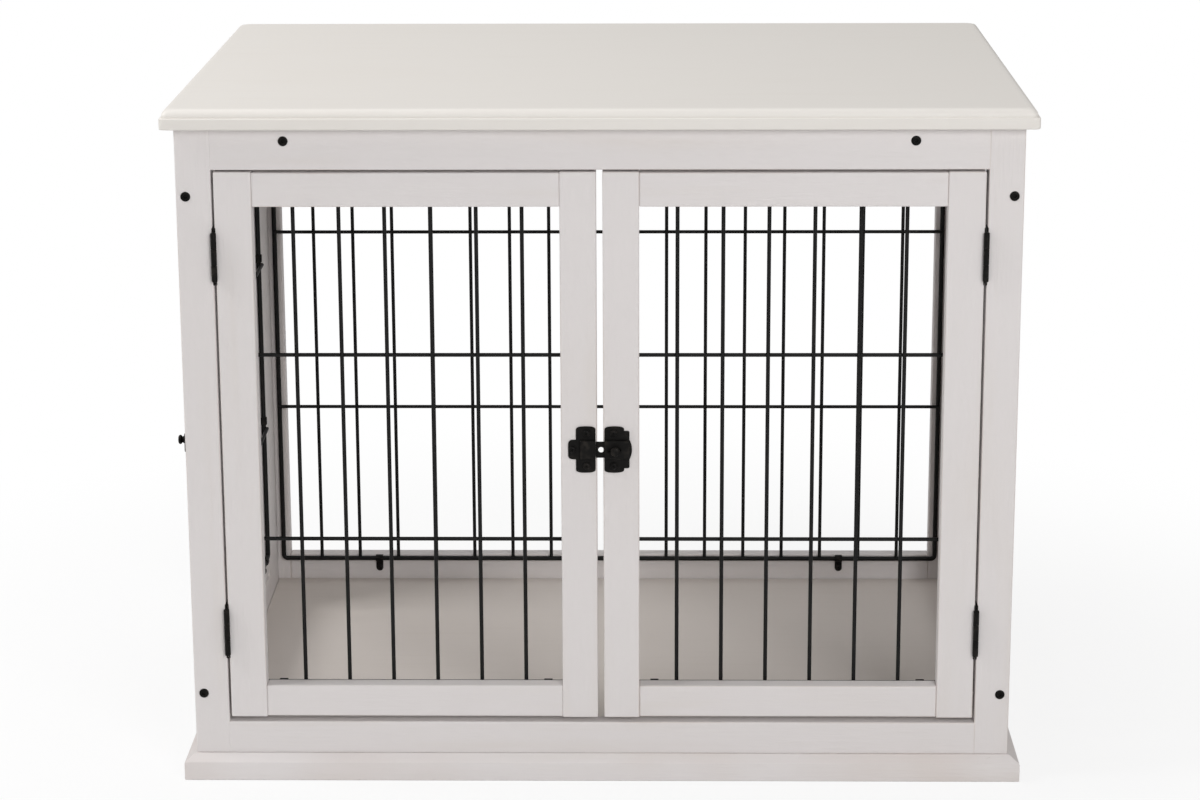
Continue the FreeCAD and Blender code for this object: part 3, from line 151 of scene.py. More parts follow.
class Graph:
    """The node graph of one material or world."""

    def __init__(self, name: str, world: bpy.types.World | None = None) -> None:
        """Starts a material with a Principled shader on its output, or a world with nothing on it.

        Args:
            name: The material's name.
            world: The world whose graph it is, if it isn't a material's.
        """
        self.owner = world or bpy.data.materials.new(name)
        self.owner.use_nodes = True
        self.tree = self.owner.node_tree
        self.tree.nodes.clear()
        kind = "ShaderNodeOutputWorld" if world else "ShaderNodeOutputMaterial"
        self.output = self.tree.nodes.new(kind)
        if not world:
            self.shader = self.tree.nodes.new("ShaderNodeBsdfPrincipled")
            self.surface(Signal(self, self.shader.outputs[0]))

    def node(
        self,
        kind: str,
        settings: dict | None = None,
        inputs: dict | None = None,
        output: str | int = 0,
    ) -> Signal:
        """Adds a node: its settings first, then its sockets.

        Args:
            kind: The node's type.
            settings: Attributes of the node.
            inputs: Values or signals by socket name or number.
            output: The output socket that is wanted.

        Returns:
            The chosen output as a signal.
        """
        node = self.tree.nodes.new(kind)
        for key, value in (settings or {}).items():
            setattr(node, key, value)
        for key, value in (inputs or {}).items():
            self._feed(node.inputs[key], value)
        return Signal(self, node.outputs[output])

    def _feed(self, socket: bpy.types.NodeSocket, value: Value) -> None:
        """Links a signal to a socket, or sets a plain value on it.

        Args:
            socket: The input socket.
            value: The signal, number or colour that goes in.
        """
        if isinstance(value, Signal):
            self.tree.links.new(value.socket, socket)
        elif isinstance(value, tuple) and socket.type == "RGBA":
            socket.default_value = (*value, 1.0)
        else:
            socket.default_value = value

    def place(self) -> Signal:
        """The point on the object, in metres, in the crate's frame at rest."""
        return self.node("ShaderNodeTexCoord", output="Object")

    def stretched(self, scale: Spot, shift: float = 0.0) -> Signal:
        """The point scaled along each axis and shifted, for textures that run one way."""
        inputs = {"Vector": self.place(), "Scale": scale, "Location": (shift, shift, shift)}
        return self.node("ShaderNodeMapping", {}, inputs)

    def noise(self, cloud: Cloud, vector: Signal | None = None) -> Signal:
        """Cloudy noise between 0 and 1.

        Args:
            cloud: What the noise is like.
            vector: Where to read it, if not at the point on the object.

        Returns:
            The noise.
        """
        inputs = {"Vector": vector or self.place(), "Scale": cloud.scale, "Detail": cloud.detail,
                  "Roughness": cloud.rough}
        return self.node("ShaderNodeTexNoise", {}, inputs)

    def mix(self, factor: Value, first: Value, second: Value) -> Signal:
        """A blend of two colours: the first at a factor of 0, and the second at 1."""
        inputs = {0: factor, 6: first, 7: second}
        return self.node("ShaderNodeMix", {"data_type": "RGBA"}, inputs, output=2)

    def arris(self) -> Signal:
        """How near the surface is to a worn edge, from 0 to 1."""
        return self.node("ShaderNodeAttribute", {"attribute_name": "arris"}, output="Fac")

    def bumped(self, height: Signal, depth: float) -> Signal:
        """A surface direction that a height from 0 to 1 disturbs by a depth in metres."""
        inputs = {"Height": height, "Distance": depth, "Strength": 1.0}
        return self.node("ShaderNodeBump", {}, inputs)

    def surface(self, shader: Signal) -> None:
        """Puts a shader on the output."""
        self.tree.links.new(shader.socket, self.output.inputs["Surface"])

    def overlay(self, factor: Value, shader: Signal) -> None:
        """Mixes another shader over the one on the output."""
        below = Signal(self, self.output.inputs["Surface"].links[0].from_socket)
        self.surface(self.node("ShaderNodeMixShader", {}, {0: factor, 1: below, 2: shader}))

    def finish(self, **inputs: Value) -> bpy.types.Material:
        """Feeds the Principled shader.

        Args:
            inputs: Values or signals by socket name, with _ for a space.

        Returns:
            The finished material.
        """
        for key, value in inputs.items():
            self._feed(self.shader.inputs[key.replace("_", " ")], value)
        return self.owner


# ---------------------------------------------------------------- finishes


class Grain(Enum):
    """Which way the fibres of a timber run, and how a texture is squeezed to follow them."""

    ALONG_X = (1.0, 12.0, 12.0)
    ALONG_Y = (12.0, 1.0, 12.0)
    ALONG_Z = (12.0, 12.0, 1.0)


@dataclass(frozen=True)
class Chips:
    """Small flakes of lost paint along the arrises, in a few places."""

    colour: Colour
    flakes: Cloud = Cloud(95.0, 3.0, 0.6)
    clusters: Cloud = Cloud(7.0, 2.0)
    flaked: Span = (0.66, 0.7)
    clustered: Span = (0.64, 0.68)

    def mask(self, graph: Graph) -> Signal:
        """Where the paint of a graph's surface is gone, from 0 to 1.

        Args:
            graph: The finish's graph.

        Returns:
            The mask.
        """
        flakes = graph.noise(self.flakes).between(*self.flaked)
        clusters = graph.noise(self.clusters).between(*self.clustered)
        return (graph.arris() ** 2.0) * flakes * clusters


@dataclass(frozen=True)
class PaintedTimber:
    """Satin off-white paint over pine, with grain, knots and a few worn arrises showing through.

    A ramp is the span of noise over which a mark appears, here and in the other finishes.
    """

    grain: Grain
    colour: Colour = (0.74, 0.705, 0.70)
    warm: Colour = (0.69, 0.64, 0.60)
    edge_tint: Colour = (0.60, 0.50, 0.44)
    chips: Chips = Chips((0.42, 0.35, 0.3))
    roughness: float = 0.45
    grain_depth: float = 0.00022
    fibres: Cloud = Cloud(26.0, 6.0, 0.62)
    bands: Cloud = Cloud(3.2)
    band_shift: float = 3.0
    patches: Cloud = Cloud(5.0, 2.0)
    knot_stretch: Span = (3.0, 5.5)
    knot_shift: float = 1.7
    knot_scale: float = 1.6
    knot_size: Span = (0.03, 0.1)
    pore_ramp: Span = (0.35, 0.75)
    band_ramp: Span = (0.5, 0.78)
    patch_ramp: Span = (0.5, 0.8)
    thin_ramp: Span = (0.4, 0.62)

    def material(self) -> bpy.types.Material:
        """Builds the paint for timber whose fibres run along one axis.

        Returns:
            The material.
        """
        graph = Graph(f"painted_timber_{self.grain.name.lower()}")
        scale = self.grain.value
        pores = graph.noise(self.fibres, graph.stretched(scale)).between(*self.pore_ramp)
        bands = graph.noise(self.bands, graph.stretched(scale, self.band_shift))
        patches = graph.noise(self.patches)
        knots = self._knots(graph)
        wear = self.chips.mask(graph)
        dirt = patches.between(*self.patch_ramp) * 0.2
        stain = bands.between(*self.band_ramp) * 0.35 + knots * 0.5 + dirt
        tone = graph.mix(stain, self.colour, self.warm)
        thinned = graph.arris() * patches.between(*self.thin_ramp) * 0.3
        colour = graph.mix(wear, graph.mix(thinned, tone, self.edge_tint), self.chips.colour)
        height = pores * 0.6 + bands * 0.6 + knots * 0.5 - wear * 0.8
        rough = self.roughness + patches * 0.1 + pores * 0.06 + wear * 0.3
        return graph.finish(
            Base_Color=colour, Roughness=rough, Normal=graph.bumped(height, self.grain_depth)
        )

    def _knots(self, graph: Graph) -> Signal:
        """Scattered small knots that the paint doesn't quite hide.

        Args:
            graph: The finish's graph.

        Returns:
            1 in the middle of a knot and 0 away from it.
        """
        along, across = self.knot_stretch
        squeeze = tuple(along if axis == 1.0 else across for axis in self.grain.value)
        settings = {"feature": "F1", "distance": "EUCLIDEAN"}
        inputs = {"Vector": graph.stretched(squeeze, self.knot_shift), "Scale": self.knot_scale,
                  "Randomness": 1.0}
        distance = graph.node("ShaderNodeTexVoronoi", settings, inputs, output="Distance")
        return 1.0 - distance.between(*self.knot_size)


@dataclass(frozen=True)
class PaintedBoard:
    """Off-white paint rolled over a smooth board, with a fine stipple and a little dust."""

    name: str = "painted_board"
    colour: Colour = (0.80, 0.768, 0.728)
    warm: Colour = (0.755, 0.71, 0.66)
    chips: Chips = Chips((0.45, 0.4, 0.34))
    roughness: float = 0.46
    stipple_depth: float = 0.00008
    cloud: Cloud = Cloud(2.6)
    stipple: Cloud = Cloud(900.0, 2.0)
    streak: Cloud = Cloud(7.0, 4.0, 0.6)
    streak_stretch: Spot = (1.0, 16.0, 16.0)
    cloud_ramp: Span = (0.45, 0.8)
    streak_ramp: Span = (0.5, 0.8)

    def material(self) -> bpy.types.Material:
        """Builds the rolled paint.

        Returns:
            The material.
        """
        graph = Graph(self.name)
        cloud = graph.noise(self.cloud)
        streak = graph.noise(self.streak, graph.stretched(self.streak_stretch))
        wear = self.chips.mask(graph)
        streaks = streak.between(*self.streak_ramp) * 0.25
        stain = cloud.between(*self.cloud_ramp) * 0.4 + streaks
        colour = graph.mix(wear, graph.mix(stain, self.colour, self.warm), self.chips.colour)
        height = graph.noise(self.stipple) * 0.5 + streak * 0.8 - wear
        return graph.finish(
            Base_Color=colour, Roughness=self.roughness + cloud * 0.1,
            Normal=graph.bumped(height, self.stipple_depth),
        )


@dataclass(frozen=True)
class PowderCoat:
    """Black powder coat: a faint orange peel, a little dust and small thin spots."""

    name: str = "black_powder_coat"
    colour: Colour = (0.006, 0.006, 0.006)
    dust_colour: Colour = (0.028, 0.024, 0.021)
    roughness: float = 0.42
    gloss: float = 0.22
    peel_depth: float = 0.00005
    peel: Cloud = Cloud(1100.0, 2.0)
    dust: Cloud = Cloud(38.0, 5.0, 0.65)
    dust_ramp: Span = (0.52, 0.85)

    def material(self) -> bpy.types.Material:
        """Builds the coat of the wires.

        Returns:
            The material.
        """
        graph = Graph(self.name)
        dust = graph.noise(self.dust)
        veil = dust.between(*self.dust_ramp) * 0.6
        colour = graph.mix(veil, self.colour, self.dust_colour)
        return graph.finish(
            Base_Color=colour, Roughness=self.roughness + dust * 0.18,
            Specular_IOR_Level=self.gloss,
            Normal=graph.bumped(graph.noise(self.peel), self.peel_depth),
        )


@dataclass(frozen=True)
class BlackedSteel:
    """Pressed steel with a thin black finish, lighter and warmer along its edges: partly rubbed
    wear, partly a painted highlight.
    """

    name: str = "blacked_steel"
    colour: Colour = (0.005, 0.0046, 0.0042)
    # the lighter warm grey of the edges: partly rubbed wear, partly a painted highlight
    rubbed: Colour = (0.045, 0.038, 0.032)
    metallic: float = 0.0
    roughness: float = 0.44
    gloss: float = 0.12
    grit_depth: float = 0.00006
    grit: Cloud = Cloud(1400.0)
    smear: Cloud = Cloud(120.0, 4.0, 0.6)
    smear_ramp: Span = (0.45, 0.75)

    def material(self) -> bpy.types.Material:
        """Builds the finish of hinges, latches, clips and screws.

        Returns:
            The material.
        """
        graph = Graph(self.name)
        grit = graph.noise(self.grit)
        # painted highlight mixed with wear: the warm grey is strongest along the arrises, where
        # glints fall
        edge_wear_and_glint = graph.arris() * 0.7 + 0.06
        rub = edge_wear_and_glint * graph.noise(self.smear).between(*self.smear_ramp)
        return graph.finish(
            Base_Color=graph.mix(rub, self.colour, self.rubbed), Metallic=self.metallic,
            Roughness=self.roughness + grit * 0.12 - rub * 0.1,
            Specular_IOR_Level=self.gloss, Normal=graph.bumped(grit, self.grit_depth),
        )


@dataclass(frozen=True)
class ZincPlate:
    """Bright zinc with a slight rainbow haze, on the screws and nuts that stay out of sight."""

    name: str = "zinc_plate"
    colour: Colour = (0.6, 0.6, 0.61)
    haze: Colour = (0.62, 0.56, 0.42)
    metallic: float = 1.0
    roughness: float = 0.3
    grit_depth: float = 0.00004
    grit: Cloud = Cloud(1500.0, 2.0)
    cloud: Cloud = Cloud(90.0)
    cloud_ramp: Span = (0.45, 0.75)

    def material(self) -> bpy.types.Material:
        """Builds the plating.

        Returns:
            The material.
        """
        graph = Graph(self.name)
        cloud = graph.noise(self.cloud)
        return graph.finish(
            Base_Color=graph.mix(
                cloud.between(*self.cloud_ramp) * 0.6, self.colour, self.haze
            ),
            Metallic=self.metallic, Roughness=self.roughness + cloud * 0.15,
            Normal=graph.bumped(graph.noise(self.grit), self.grit_depth),
        )


Finish = Union[PaintedTimber, PaintedBoard, PowderCoat, BlackedSteel, ZincPlate]


class Slot(Enum):
    """The record's material slots."""

    TIMBER = "painted_wood"
    BOARD = "painted_board"
    WIRE = "black_wire"
    HARDWARE = "black_hardware"
    ZINC = "zinc_steel"


class FinishShop:
    """Makes each finish once and hands it out again."""

    def __init__(self) -> None:
        """Starts with no finishes made."""
        self._made: dict[Finish, bpy.types.Material] = {}

    def get(self, finish: Finish) -> bpy.types.Material:
        """The material of a finish.

        Args:
            finish: The finish.

        Returns:
            Its material, the same one each time.
        """
        if finish not in self._made:
            self._made[finish] = finish.material()
        return self._made[finish]


# ---------------------------------------------------------------- meshes


def pose(origin: Sequence[float], x_axis: Sequence[float], z_axis: Sequence[float]) -> Matrix:
    """A place for pieces that are laid out on their own axes.

    Args:
        origin: Where their origin goes.
        x_axis: Where their X points.
        z_axis: Where their Z points.

    Returns:
        The transform.
    """
    x, z = Vector(x_axis).normalized(), Vector(z_axis).normalized()
    turn = Matrix((x, z.cross(x), z)).transposed().to_4x4()
    return Matrix.Translation(Vector(origin)) @ turn


def arc(centre: Point, radius: float, start: float, end: float, steps: int) -> list[Point]:
    """Points on an arc in a plane, from one angle in degrees to another, both ends among them."""
    angles = [math.radians(start + (end - start) * i / steps) for i in range(steps + 1)]
    return [(centre[0] + radius * math.cos(a), centre[1] + radius * math.sin(a)) for a in angles]


class Solid:
    """A mesh in the making: corners, faces and how near each corner is to an arris."""

    def __init__(
        self,
        corners: Iterable[Vector] = (),
        faces: Iterable[Sequence[int]] = (),
        arris: Iterable[float] | None = None,
    ) -> None:
        """Keeps the corners and faces.

        Args:
            corners: Points in metres.
            faces: Corner numbers of each face.
            arris: 1 for a corner on a worn edge and 0 for one inside a face.
        """
        self.corners = [Vector(corner) for corner in corners]
        self.faces = [tuple(face) for face in faces]
        self.arris = list(arris) if arris is not None else [0.0] * len(self.corners)

    def __add__(self, other: "Solid") -> "Solid":
        """Both solids in one mesh.

        Args:
            other: The second solid.

        Returns:
            The sum.
        """
        shift = len(self.corners)
        faces = self.faces + [tuple(i + shift for i in face) for face in other.faces]
        return Solid(self.corners + other.corners, faces, self.arris + other.arris)

    def moved(self, matrix: Matrix) -> "Solid":
        """A copy carried by a transform; a mirroring one turns the faces round.

        Args:
            matrix: The transform.

        Returns:
            The copy.
        """
        faces = self.faces
        if matrix.to_3x3().determinant() < 0:
            faces = [tuple(reversed(face)) for face in faces]
        return Solid([matrix @ corner for corner in self.corners], faces, self.arris)

    def at(self, x: float, y: float, z: float) -> "Solid":
        """A copy moved along the axes."""
        return self.moved(Matrix.Translation((x, y, z)))

    @staticmethod
    def gathered(solids: Iterable["Solid"]) -> "Solid":
        """Many solids in one mesh.

        Args:
            solids: The solids.

        Returns:
            Their sum.
        """
        total = Solid()
        for solid in solids:
            total = total + solid
        return total

    @staticmethod
    def bar(low: Vector, high: Vector, ease: float, rim: float = 0.0025) -> "Solid":
        """A bar with rounded arrises and a narrow band inside each of them.

        Args:
            low: Its lowest corner.
            high: Its highest corner.
            ease: The radius of its arrises.
            rim: How far from the arris its wear reaches.

        Returns:
            The bar.
        """
        stations = []
        for axis in range(3):
            start, end = low[axis], high[axis]
            near = [0.0, ease * 0.25, ease * 0.6, ease]
            if end - start > 2.5 * (ease + rim):
                near.append(ease + rim)
            stations.append([start + s for s in near] + [end - s for s in reversed(near)])
        return Solid._grid_box(stations, low, high, ease)

    @staticmethod
    def _grid_box(
        stations: list[list[float]], low: Vector, high: Vector, ease: float
    ) -> "Solid":
        """The skin of a box with lines at the given stations, drawn in to round its edges.

        Args:
            stations: Where the lines are along X, Y and Z.
            low: The lowest corner.
            high: The highest corner.
            ease: The radius of the edges.

        Returns:
            The box.
        """
        numbers: dict[tuple[int, int, int], int] = {}
        corners: list[Vector] = []
        arris: list[float] = []
        faces: list[tuple[int, ...]] = []
        inner_low = Vector([low[a] + ease for a in range(3)])
        inner_high = Vector([high[a] - ease for a in range(3)])

        def number(key: tuple[int, int, int]) -> int:
            """The number of the corner at three stations, made when it is first needed.

            Args:
                key: The index of its station along X, Y and Z.

            Returns:
                Its number in the mesh.
            """
            if key not in numbers:
                point = Vector([stations[a][key[a]] for a in range(3)])
                core = Vector([min(max(point[a], inner_low[a]), inner_high[a]) for a in range(3)])
                away = point - core
                numbers[key] = len(corners)
                corners.append(core + away.normalized() * ease)
                arris.append(1.0 if sum(abs(away[a]) > 1e-9 for a in range(3)) > 1 else 0.0)
            return numbers[key]

        for axis in range(3):
            first, second = [a for a in range(3) if a != axis]
            for side, index in ((0, 0), (1, len(stations[axis]) - 1)):
                for i in range(len(stations[first]) - 1):
                    for j in range(len(stations[second]) - 1):
                        loop = []
                        for di, dj in ((0, 0), (1, 0), (1, 1), (0, 1)):
                            key = [0, 0, 0]
                            key[axis] = index
                            key[first] = i + di
                            key[second] = j + dj
                            loop.append(number(tuple(key)))
                        flip = (side == 1) == (axis == 1)
                        faces.append(tuple(reversed(loop)) if flip else tuple(loop))
        return Solid(corners, faces, arris)

    @staticmethod
    def rings(rings: Sequence[Sequence[Vector]], arris: Sequence[float], capped: bool) -> "Solid":
        """A skin over closed rings of equal length.

        Args:
            rings: The rings, in order.
            arris: The wear of each ring.
            capped: True to close both ends, and False to join the last ring to the first.

        Returns:
            The solid.
        """
        count = len(rings[0])
        corners = [corner for ring in rings for corner in ring]
        wear = [value for value in arris for _ in range(count)]
        spans = len(rings) - 1 if capped else len(rings)
        faces: list[tuple[int, ...]] = []
        for r in range(spans):
            lower, upper = r * count, ((r + 1) % len(rings)) * count
            for i in range(count):
                j = (i + 1) % count
                faces.append((lower + i, lower + j, upper + j, upper + i))
        if capped:
            faces.append(tuple(reversed(range(count))))
            faces.append(tuple(range((len(rings) - 1) * count, len(rings) * count)))
        return Solid(corners, faces, wear)

    @staticmethod
    def turned(profile: Sequence[Point], sides: int = 24) -> "Solid":
        """A form turned about Z.

        Args:
            profile: (radius, height) pairs from the lower end to the upper one.
            sides: How many flats the form has.

        Returns:
            The turned form, closed by a face at each end.
        """
        turns = [2 * math.pi * i / sides for i in range(sides)]
        rings = [
            [Vector((max(r, 1e-5) * math.cos(t), max(r, 1e-5) * math.sin(t), z)) for t in turns]
            for r, z in profile
        ]
        return Solid.rings(rings, [0.5] * len(rings), True)

    @staticmethod
    def plate(outline: Sequence[Point], low: float, high: float, ease: float) -> "Solid":
        """A flat plate with an outline in X and Y and softened edges.

        Args:
            outline: The outline's points, anticlockwise.
            low: The height of its underside.
            high: The height of its face.
            ease: How far its edges are softened.

        Returns:
            The plate.
        """
        inner = shrunk(outline, ease)
        tiers = [(inner, low), (outline, low + ease), (outline, high - ease), (inner, high)]
        rings = [[Vector((x, y, z)) for x, y in ring] for ring, z in tiers]
        return Solid.rings(rings, [0.4, 1.0, 1.0, 0.4], True)

    @staticmethod
    def tube(
        path: Sequence[Vector], radius: float, normal: Vector, closed: bool, sides: int = 14
    ) -> "Solid":
        """A round rod along a flat path.

        Args:
            path: The points that its middle follows.
            radius: Its radius.
            normal: The direction square to the path's plane.
            closed: True when the path returns to its start.
            sides: How many flats it has.

        Returns:
            The rod; an open one has softened ends.
        """
        rings = []
        count = len(path)
        for index, point in enumerate(path):
            before = path[index - 1] if closed or index else point
            after = path[(index + 1) % count] if closed or index < count - 1 else point
            side = (after - before).normalized().cross(normal)
            end = not closed and index in (0, count - 1)
            reach = radius * (0.72 if end else 1.0)
            rings.append([
                point + (side * math.cos(t) + normal * math.sin(t)) * reach
                for t in (2 * math.pi * i / sides for i in range(sides))
            ])
        return Solid.rings(rings, [0.0] * count, not closed)

    @staticmethod
    def wire(start: Vector, end: Vector, radius: float, normal: Vector) -> "Solid":
        """A straight wire with softened ends."""
        step = (end - start).normalized() * radius * 0.35
        return Solid.tube([start, start + step, end - step, end], radius, normal, False, 12)

    @staticmethod
    def bead(middle: Vector, size: Vector) -> "Solid":
        """A small round weld.

        Args:
            middle: Its middle.
            size: Its half size along X, Y and Z.

        Returns:
            The weld.
        """
        profile = [(math.sin(a), -math.cos(a)) for a in (math.pi * i / 6 for i in range(7))]
        scale = Matrix.Diagonal((*size, 1.0))
        return Solid.turned(profile, 8).moved(Matrix.Translation(middle) @ scale)

    def _mesh(self, name: str) -> bpy.types.Mesh:
        """A Blender mesh of the solid.

        Args:
            name: The mesh's name.

        Returns:
            The mesh, with its wear in an attribute.
        """
        mesh = bpy.data.meshes.new(name)
        mesh.from_pydata([tuple(corner) for corner in self.corners], [], self.faces)
        layer = mesh.attributes.new("arris", "FLOAT", "POINT")
        layer.data.foreach_set("value", self.arris)
        mesh.validate()
        mesh.update()
        return mesh

    def cut(self, tool: "Solid") -> "Solid":
        """What is left when another solid is taken away.

        Args:
            tool: The solid to take away.

        Returns:
            The rest.
        """
        base = bpy.data.objects.new("cut_base", self._mesh("cut_base"))
        taken = bpy.data.objects.new("cut_tool", tool._mesh("cut_tool"))
        for thing in (base, taken):
            bpy.context.scene.collection.objects.link(thing)
        modifier = base.modifiers.new("cut", "BOOLEAN")
        modifier.operation = "DIFFERENCE"
        modifier.solver = "EXACT"
        modifier.object = taken
        evaluated = base.evaluated_get(bpy.context.evaluated_depsgraph_get())
        mesh = bpy.data.meshes.new_from_object(evaluated)
        layer = mesh.attributes.get("arris")
        wear = [item.value for item in layer.data] if layer else None
        corners = [vertex.co.copy() for vertex in mesh.vertices]
        faces = [tuple(polygon.vertices) for polygon in mesh.polygons]
        for thing in (base, taken):
            old = thing.data
            bpy.data.objects.remove(thing)
            bpy.data.meshes.remove(old)
        bpy.data.meshes.remove(mesh)
        return Solid(corners, faces, wear)

    def build(
        self, name: str, material: bpy.types.Material, sharp: float = 32.0
    ) -> bpy.types.Object:
        """The finished object.

        Args:
            name: Its name.
            material: Its material.
            sharp: The angle in degrees above which an edge stays sharp.

        Returns:
            The object, linked to the scene.
        """
        mesh = self._mesh(name)
        mesh.materials.append(material)
        mesh.shade_smooth()
        mesh.set_sharp_from_angle(angle=math.radians(sharp))
        thing = bpy.data.objects.new(name, mesh)
        bpy.context.scene.collection.objects.link(thing)
        return thing


def shrunk(outline: Sequence[Point], inset: float) -> list[Point]:
    """An outline drawn in by the same distance all round.

    Args:
        outline: The points, anticlockwise.
        inset: How far to draw them in.

    Returns:
        The inner outline.
    """
    count = len(outline)
    inner = []
    for index, point in enumerate(outline):
        here = Vector(point)
        into = (here - Vector(outline[index - 1])).normalized()
        out = (Vector(outline[(index + 1) % count]) - here).normalized()
        normals = [Vector((-d.y, d.x)) for d in (into, out)]
        middle = (normals[0] + normals[1]).normalized()
        stretch = 1.0 / max(middle.dot(normals[0]), 0.35)
        moved = here + middle * inset * stretch
        inner.append((moved.x, moved.y))
    return inner


def rounded_rectangle(low: Point, high: Point, radius: float, steps: int = 4) -> list[Point]:
    """A rectangle with round corners, anticlockwise.

    Args:
        low: Its lower left corner.
        high: Its upper right corner.
        radius: The corners' radius.
        steps: The spans of each corner.

    Returns:
        The outline.
    """
    (x0, y0), (x1, y1) = low, high
    points = []
    for x, y, start in (
        (x1 - radius, y0 + radius, -90), (x1 - radius, y1 - radius, 0),
        (x0 + radius, y1 - radius, 90), (x0 + radius, y0 + radius, 180),
    ):
        points += arc((x, y), radius, start, start + 90, steps)
    return points


# ---------------------------------------------------------------- the workshop


@dataclass
class Workshop:
    """What every sub-assembly needs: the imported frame, the finishes and the finished pieces."""

    frame: dict
    finishes: FinishShop = field(default_factory=FinishShop)

    def put(
        self, solid: Solid, name: str, body: str, finish: Finish, slot: Slot, *nodes: str
    ) -> bpy.types.Object:
        """Builds a piece, sets it on its body and lets it stand for CAD nodes.

        Args:
            solid: The piece's mesh.
            name: The piece's name.
            body: The body that it rides on.
            finish: Its finish.
            slot: The record's slot for it; not used.
            nodes: The CAD nodes that it replaces.

        Returns:
            The piece.
        """
        piece = solid.build(name, self.finishes.get(finish))
        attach(piece, body)
        if nodes:
            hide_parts(*nodes)
        LOG.info("%s: %d faces on %s", name, len(solid.faces), body)
        return piece

    def painted(self, solid: Solid, node: str, body: str, grain: Grain) -> None:
        """Sets a painted timber in the place of its node."""
        self.put(solid, f"painted_{node}", body, PaintedTimber(grain), Slot.TIMBER, node)

    def blacked(self, solid: Solid, node: str, body: str) -> None:
        """Sets a piece of blackened hardware in the place of its node."""
        self.put(solid, f"blacked_{node}", body, BlackedSteel(), Slot.HARDWARE, node)

    def coat(self, node: str, finish: Finish) -> None:
        """Gives a CAD node that stays visible its finish.

        Args:
            node: The node.
            finish: Its finish.
        """
        thing = self.frame["nodes"][node]
        thing.data.materials.clear()
        thing.data.materials.append(self.finishes.get(finish))
        LOG.info("%s keeps its CAD shape", node)

    def joint(self, name: str) -> dict:
        """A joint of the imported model."""
        return next(joint for joint in self.frame["joints"] if joint["name"] == name)


# ---------------------------------------------------------------- timber


@dataclass
class Timberwork:
    """The posts, rails and stiles, each a bar with eased arrises that shows its seams."""

    shop: Workshop
    bore: Solid
    bolt_poses: list[Matrix]
    ease: float = 0.0012
    tenon: float = 0.012
    post_width: float = 0.032
    bearer_width: float = 0.024
    snug: float = 0.0009

    def build(self) -> None:
        """Builds the four walls, the bearers and the three door frames."""
        across, along = Vector((1.0, 0.0, 0.0)), Vector((0.0, 1.0, 0.0))
        for side, inwards in (("left", across), ("right", -across)):
            self._stile(f"front_stile_{side}", "crate", inwards)
            self._stile(f"{side}_side_front_stile", "crate")
            self._stile(f"{side}_side_rear_stile", "crate", -along)
            self._rail(f"{side}_side_top_rail", "crate", Grain.ALONG_Y)
            self._rail(f"{side}_side_bottom_rail", "crate", Grain.ALONG_Y)
        for wall in ("front", "rear"):
            self._rail(f"{wall}_top_rail", "crate", Grain.ALONG_X)
            self._rail(f"{wall}_bottom_rail", "crate", Grain.ALONG_X)
        self._pair("rear_stiles", self.post_width, Grain.ALONG_Z)
        self._pair("top_bearers", self.bearer_width, Grain.ALONG_Y)
        for door, hinged in (("left_door", -across), ("right_door", across), ("side_door", along)):
            grain = Grain.ALONG_Y if door == "side_door" else Grain.ALONG_X
            self._stile(f"{door}_hinge_stile", door, hinged + UP)
            self._stile(f"{door}_latch_stile", door, UP)
            self._rail(f"{door}_top_rail", door, grain, UP)
            self._rail(f"{door}_bottom_rail", door, grain)

    def _put(self, solid: Solid, node: str, body: str, grain: Grain) -> None:
        """Sets a painted timber, bored for its bolts, in the place of its node.

        Args:
            solid: The timber before it is bored.
            node: Its node.
            body: The body that it rides on.
            grain: Which way its fibres run.
        """
        low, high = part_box(node)
        for place in self.bolt_poses:
            spot = place.translation
            if all(low[a] - self.ease < spot[a] < high[a] + self.ease for a in range(3)):
                solid = solid.cut(self.bore.moved(place))
        self.shop.painted(solid, node, body, grain)

    def _fitted(self, node: str, gap: Vector) -> tuple[Vector, Vector]:
        """A node's box with its paint, which closes the gap beside it a little.

        Args:
            node: The node.
            gap: Which way the gap lies, or a zero vector where there is none.

        Returns:
            The lowest and the highest corner.
        """
        low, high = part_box(node)
        low += Vector([min(value, 0.0) for value in gap]) * self.snug
        high += Vector([max(value, 0.0) for value in gap]) * self.snug
        return low, high

    def _stile(self, node: str, body: str, gap: Vector = NOWHERE) -> None:
        """An upright, as long as its node."""
        low, high = self._fitted(node, gap)
        self._put(Solid.bar(low, high, self.ease), node, body, Grain.ALONG_Z)

    def _rail(self, node: str, body: str, grain: Grain, gap: Vector = NOWHERE) -> None:
        """A rail between two uprights: its node without the hidden tenons.

        Args:
            node: Its node.
            body: The body that it rides on.
            grain: Which way it runs.
            gap: Which way the gap lies beside it.
        """
        low, high = self._fitted(node, gap)
        axis = 0 if grain is Grain.ALONG_X else 1
        low[axis] += self.tenon
        high[axis] -= self.tenon
        self._put(Solid.bar(low, high, self.ease), node, body, grain)

    def _pair(self, node: str, width: float, grain: Grain) -> None:
        """Two matching bars at the ends of one node.

        Args:
            node: Their node.
            width: How wide each bar is.
            grain: Which way they run.
        """
        low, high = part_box(node)
        left = Solid.bar(low, Vector((low.x + width, high.y, high.z)), self.ease)
        right = Solid.bar(Vector((high.x - width, low.y, low.z)), high, self.ease)
        self._put(left + right, node, "crate", grain)


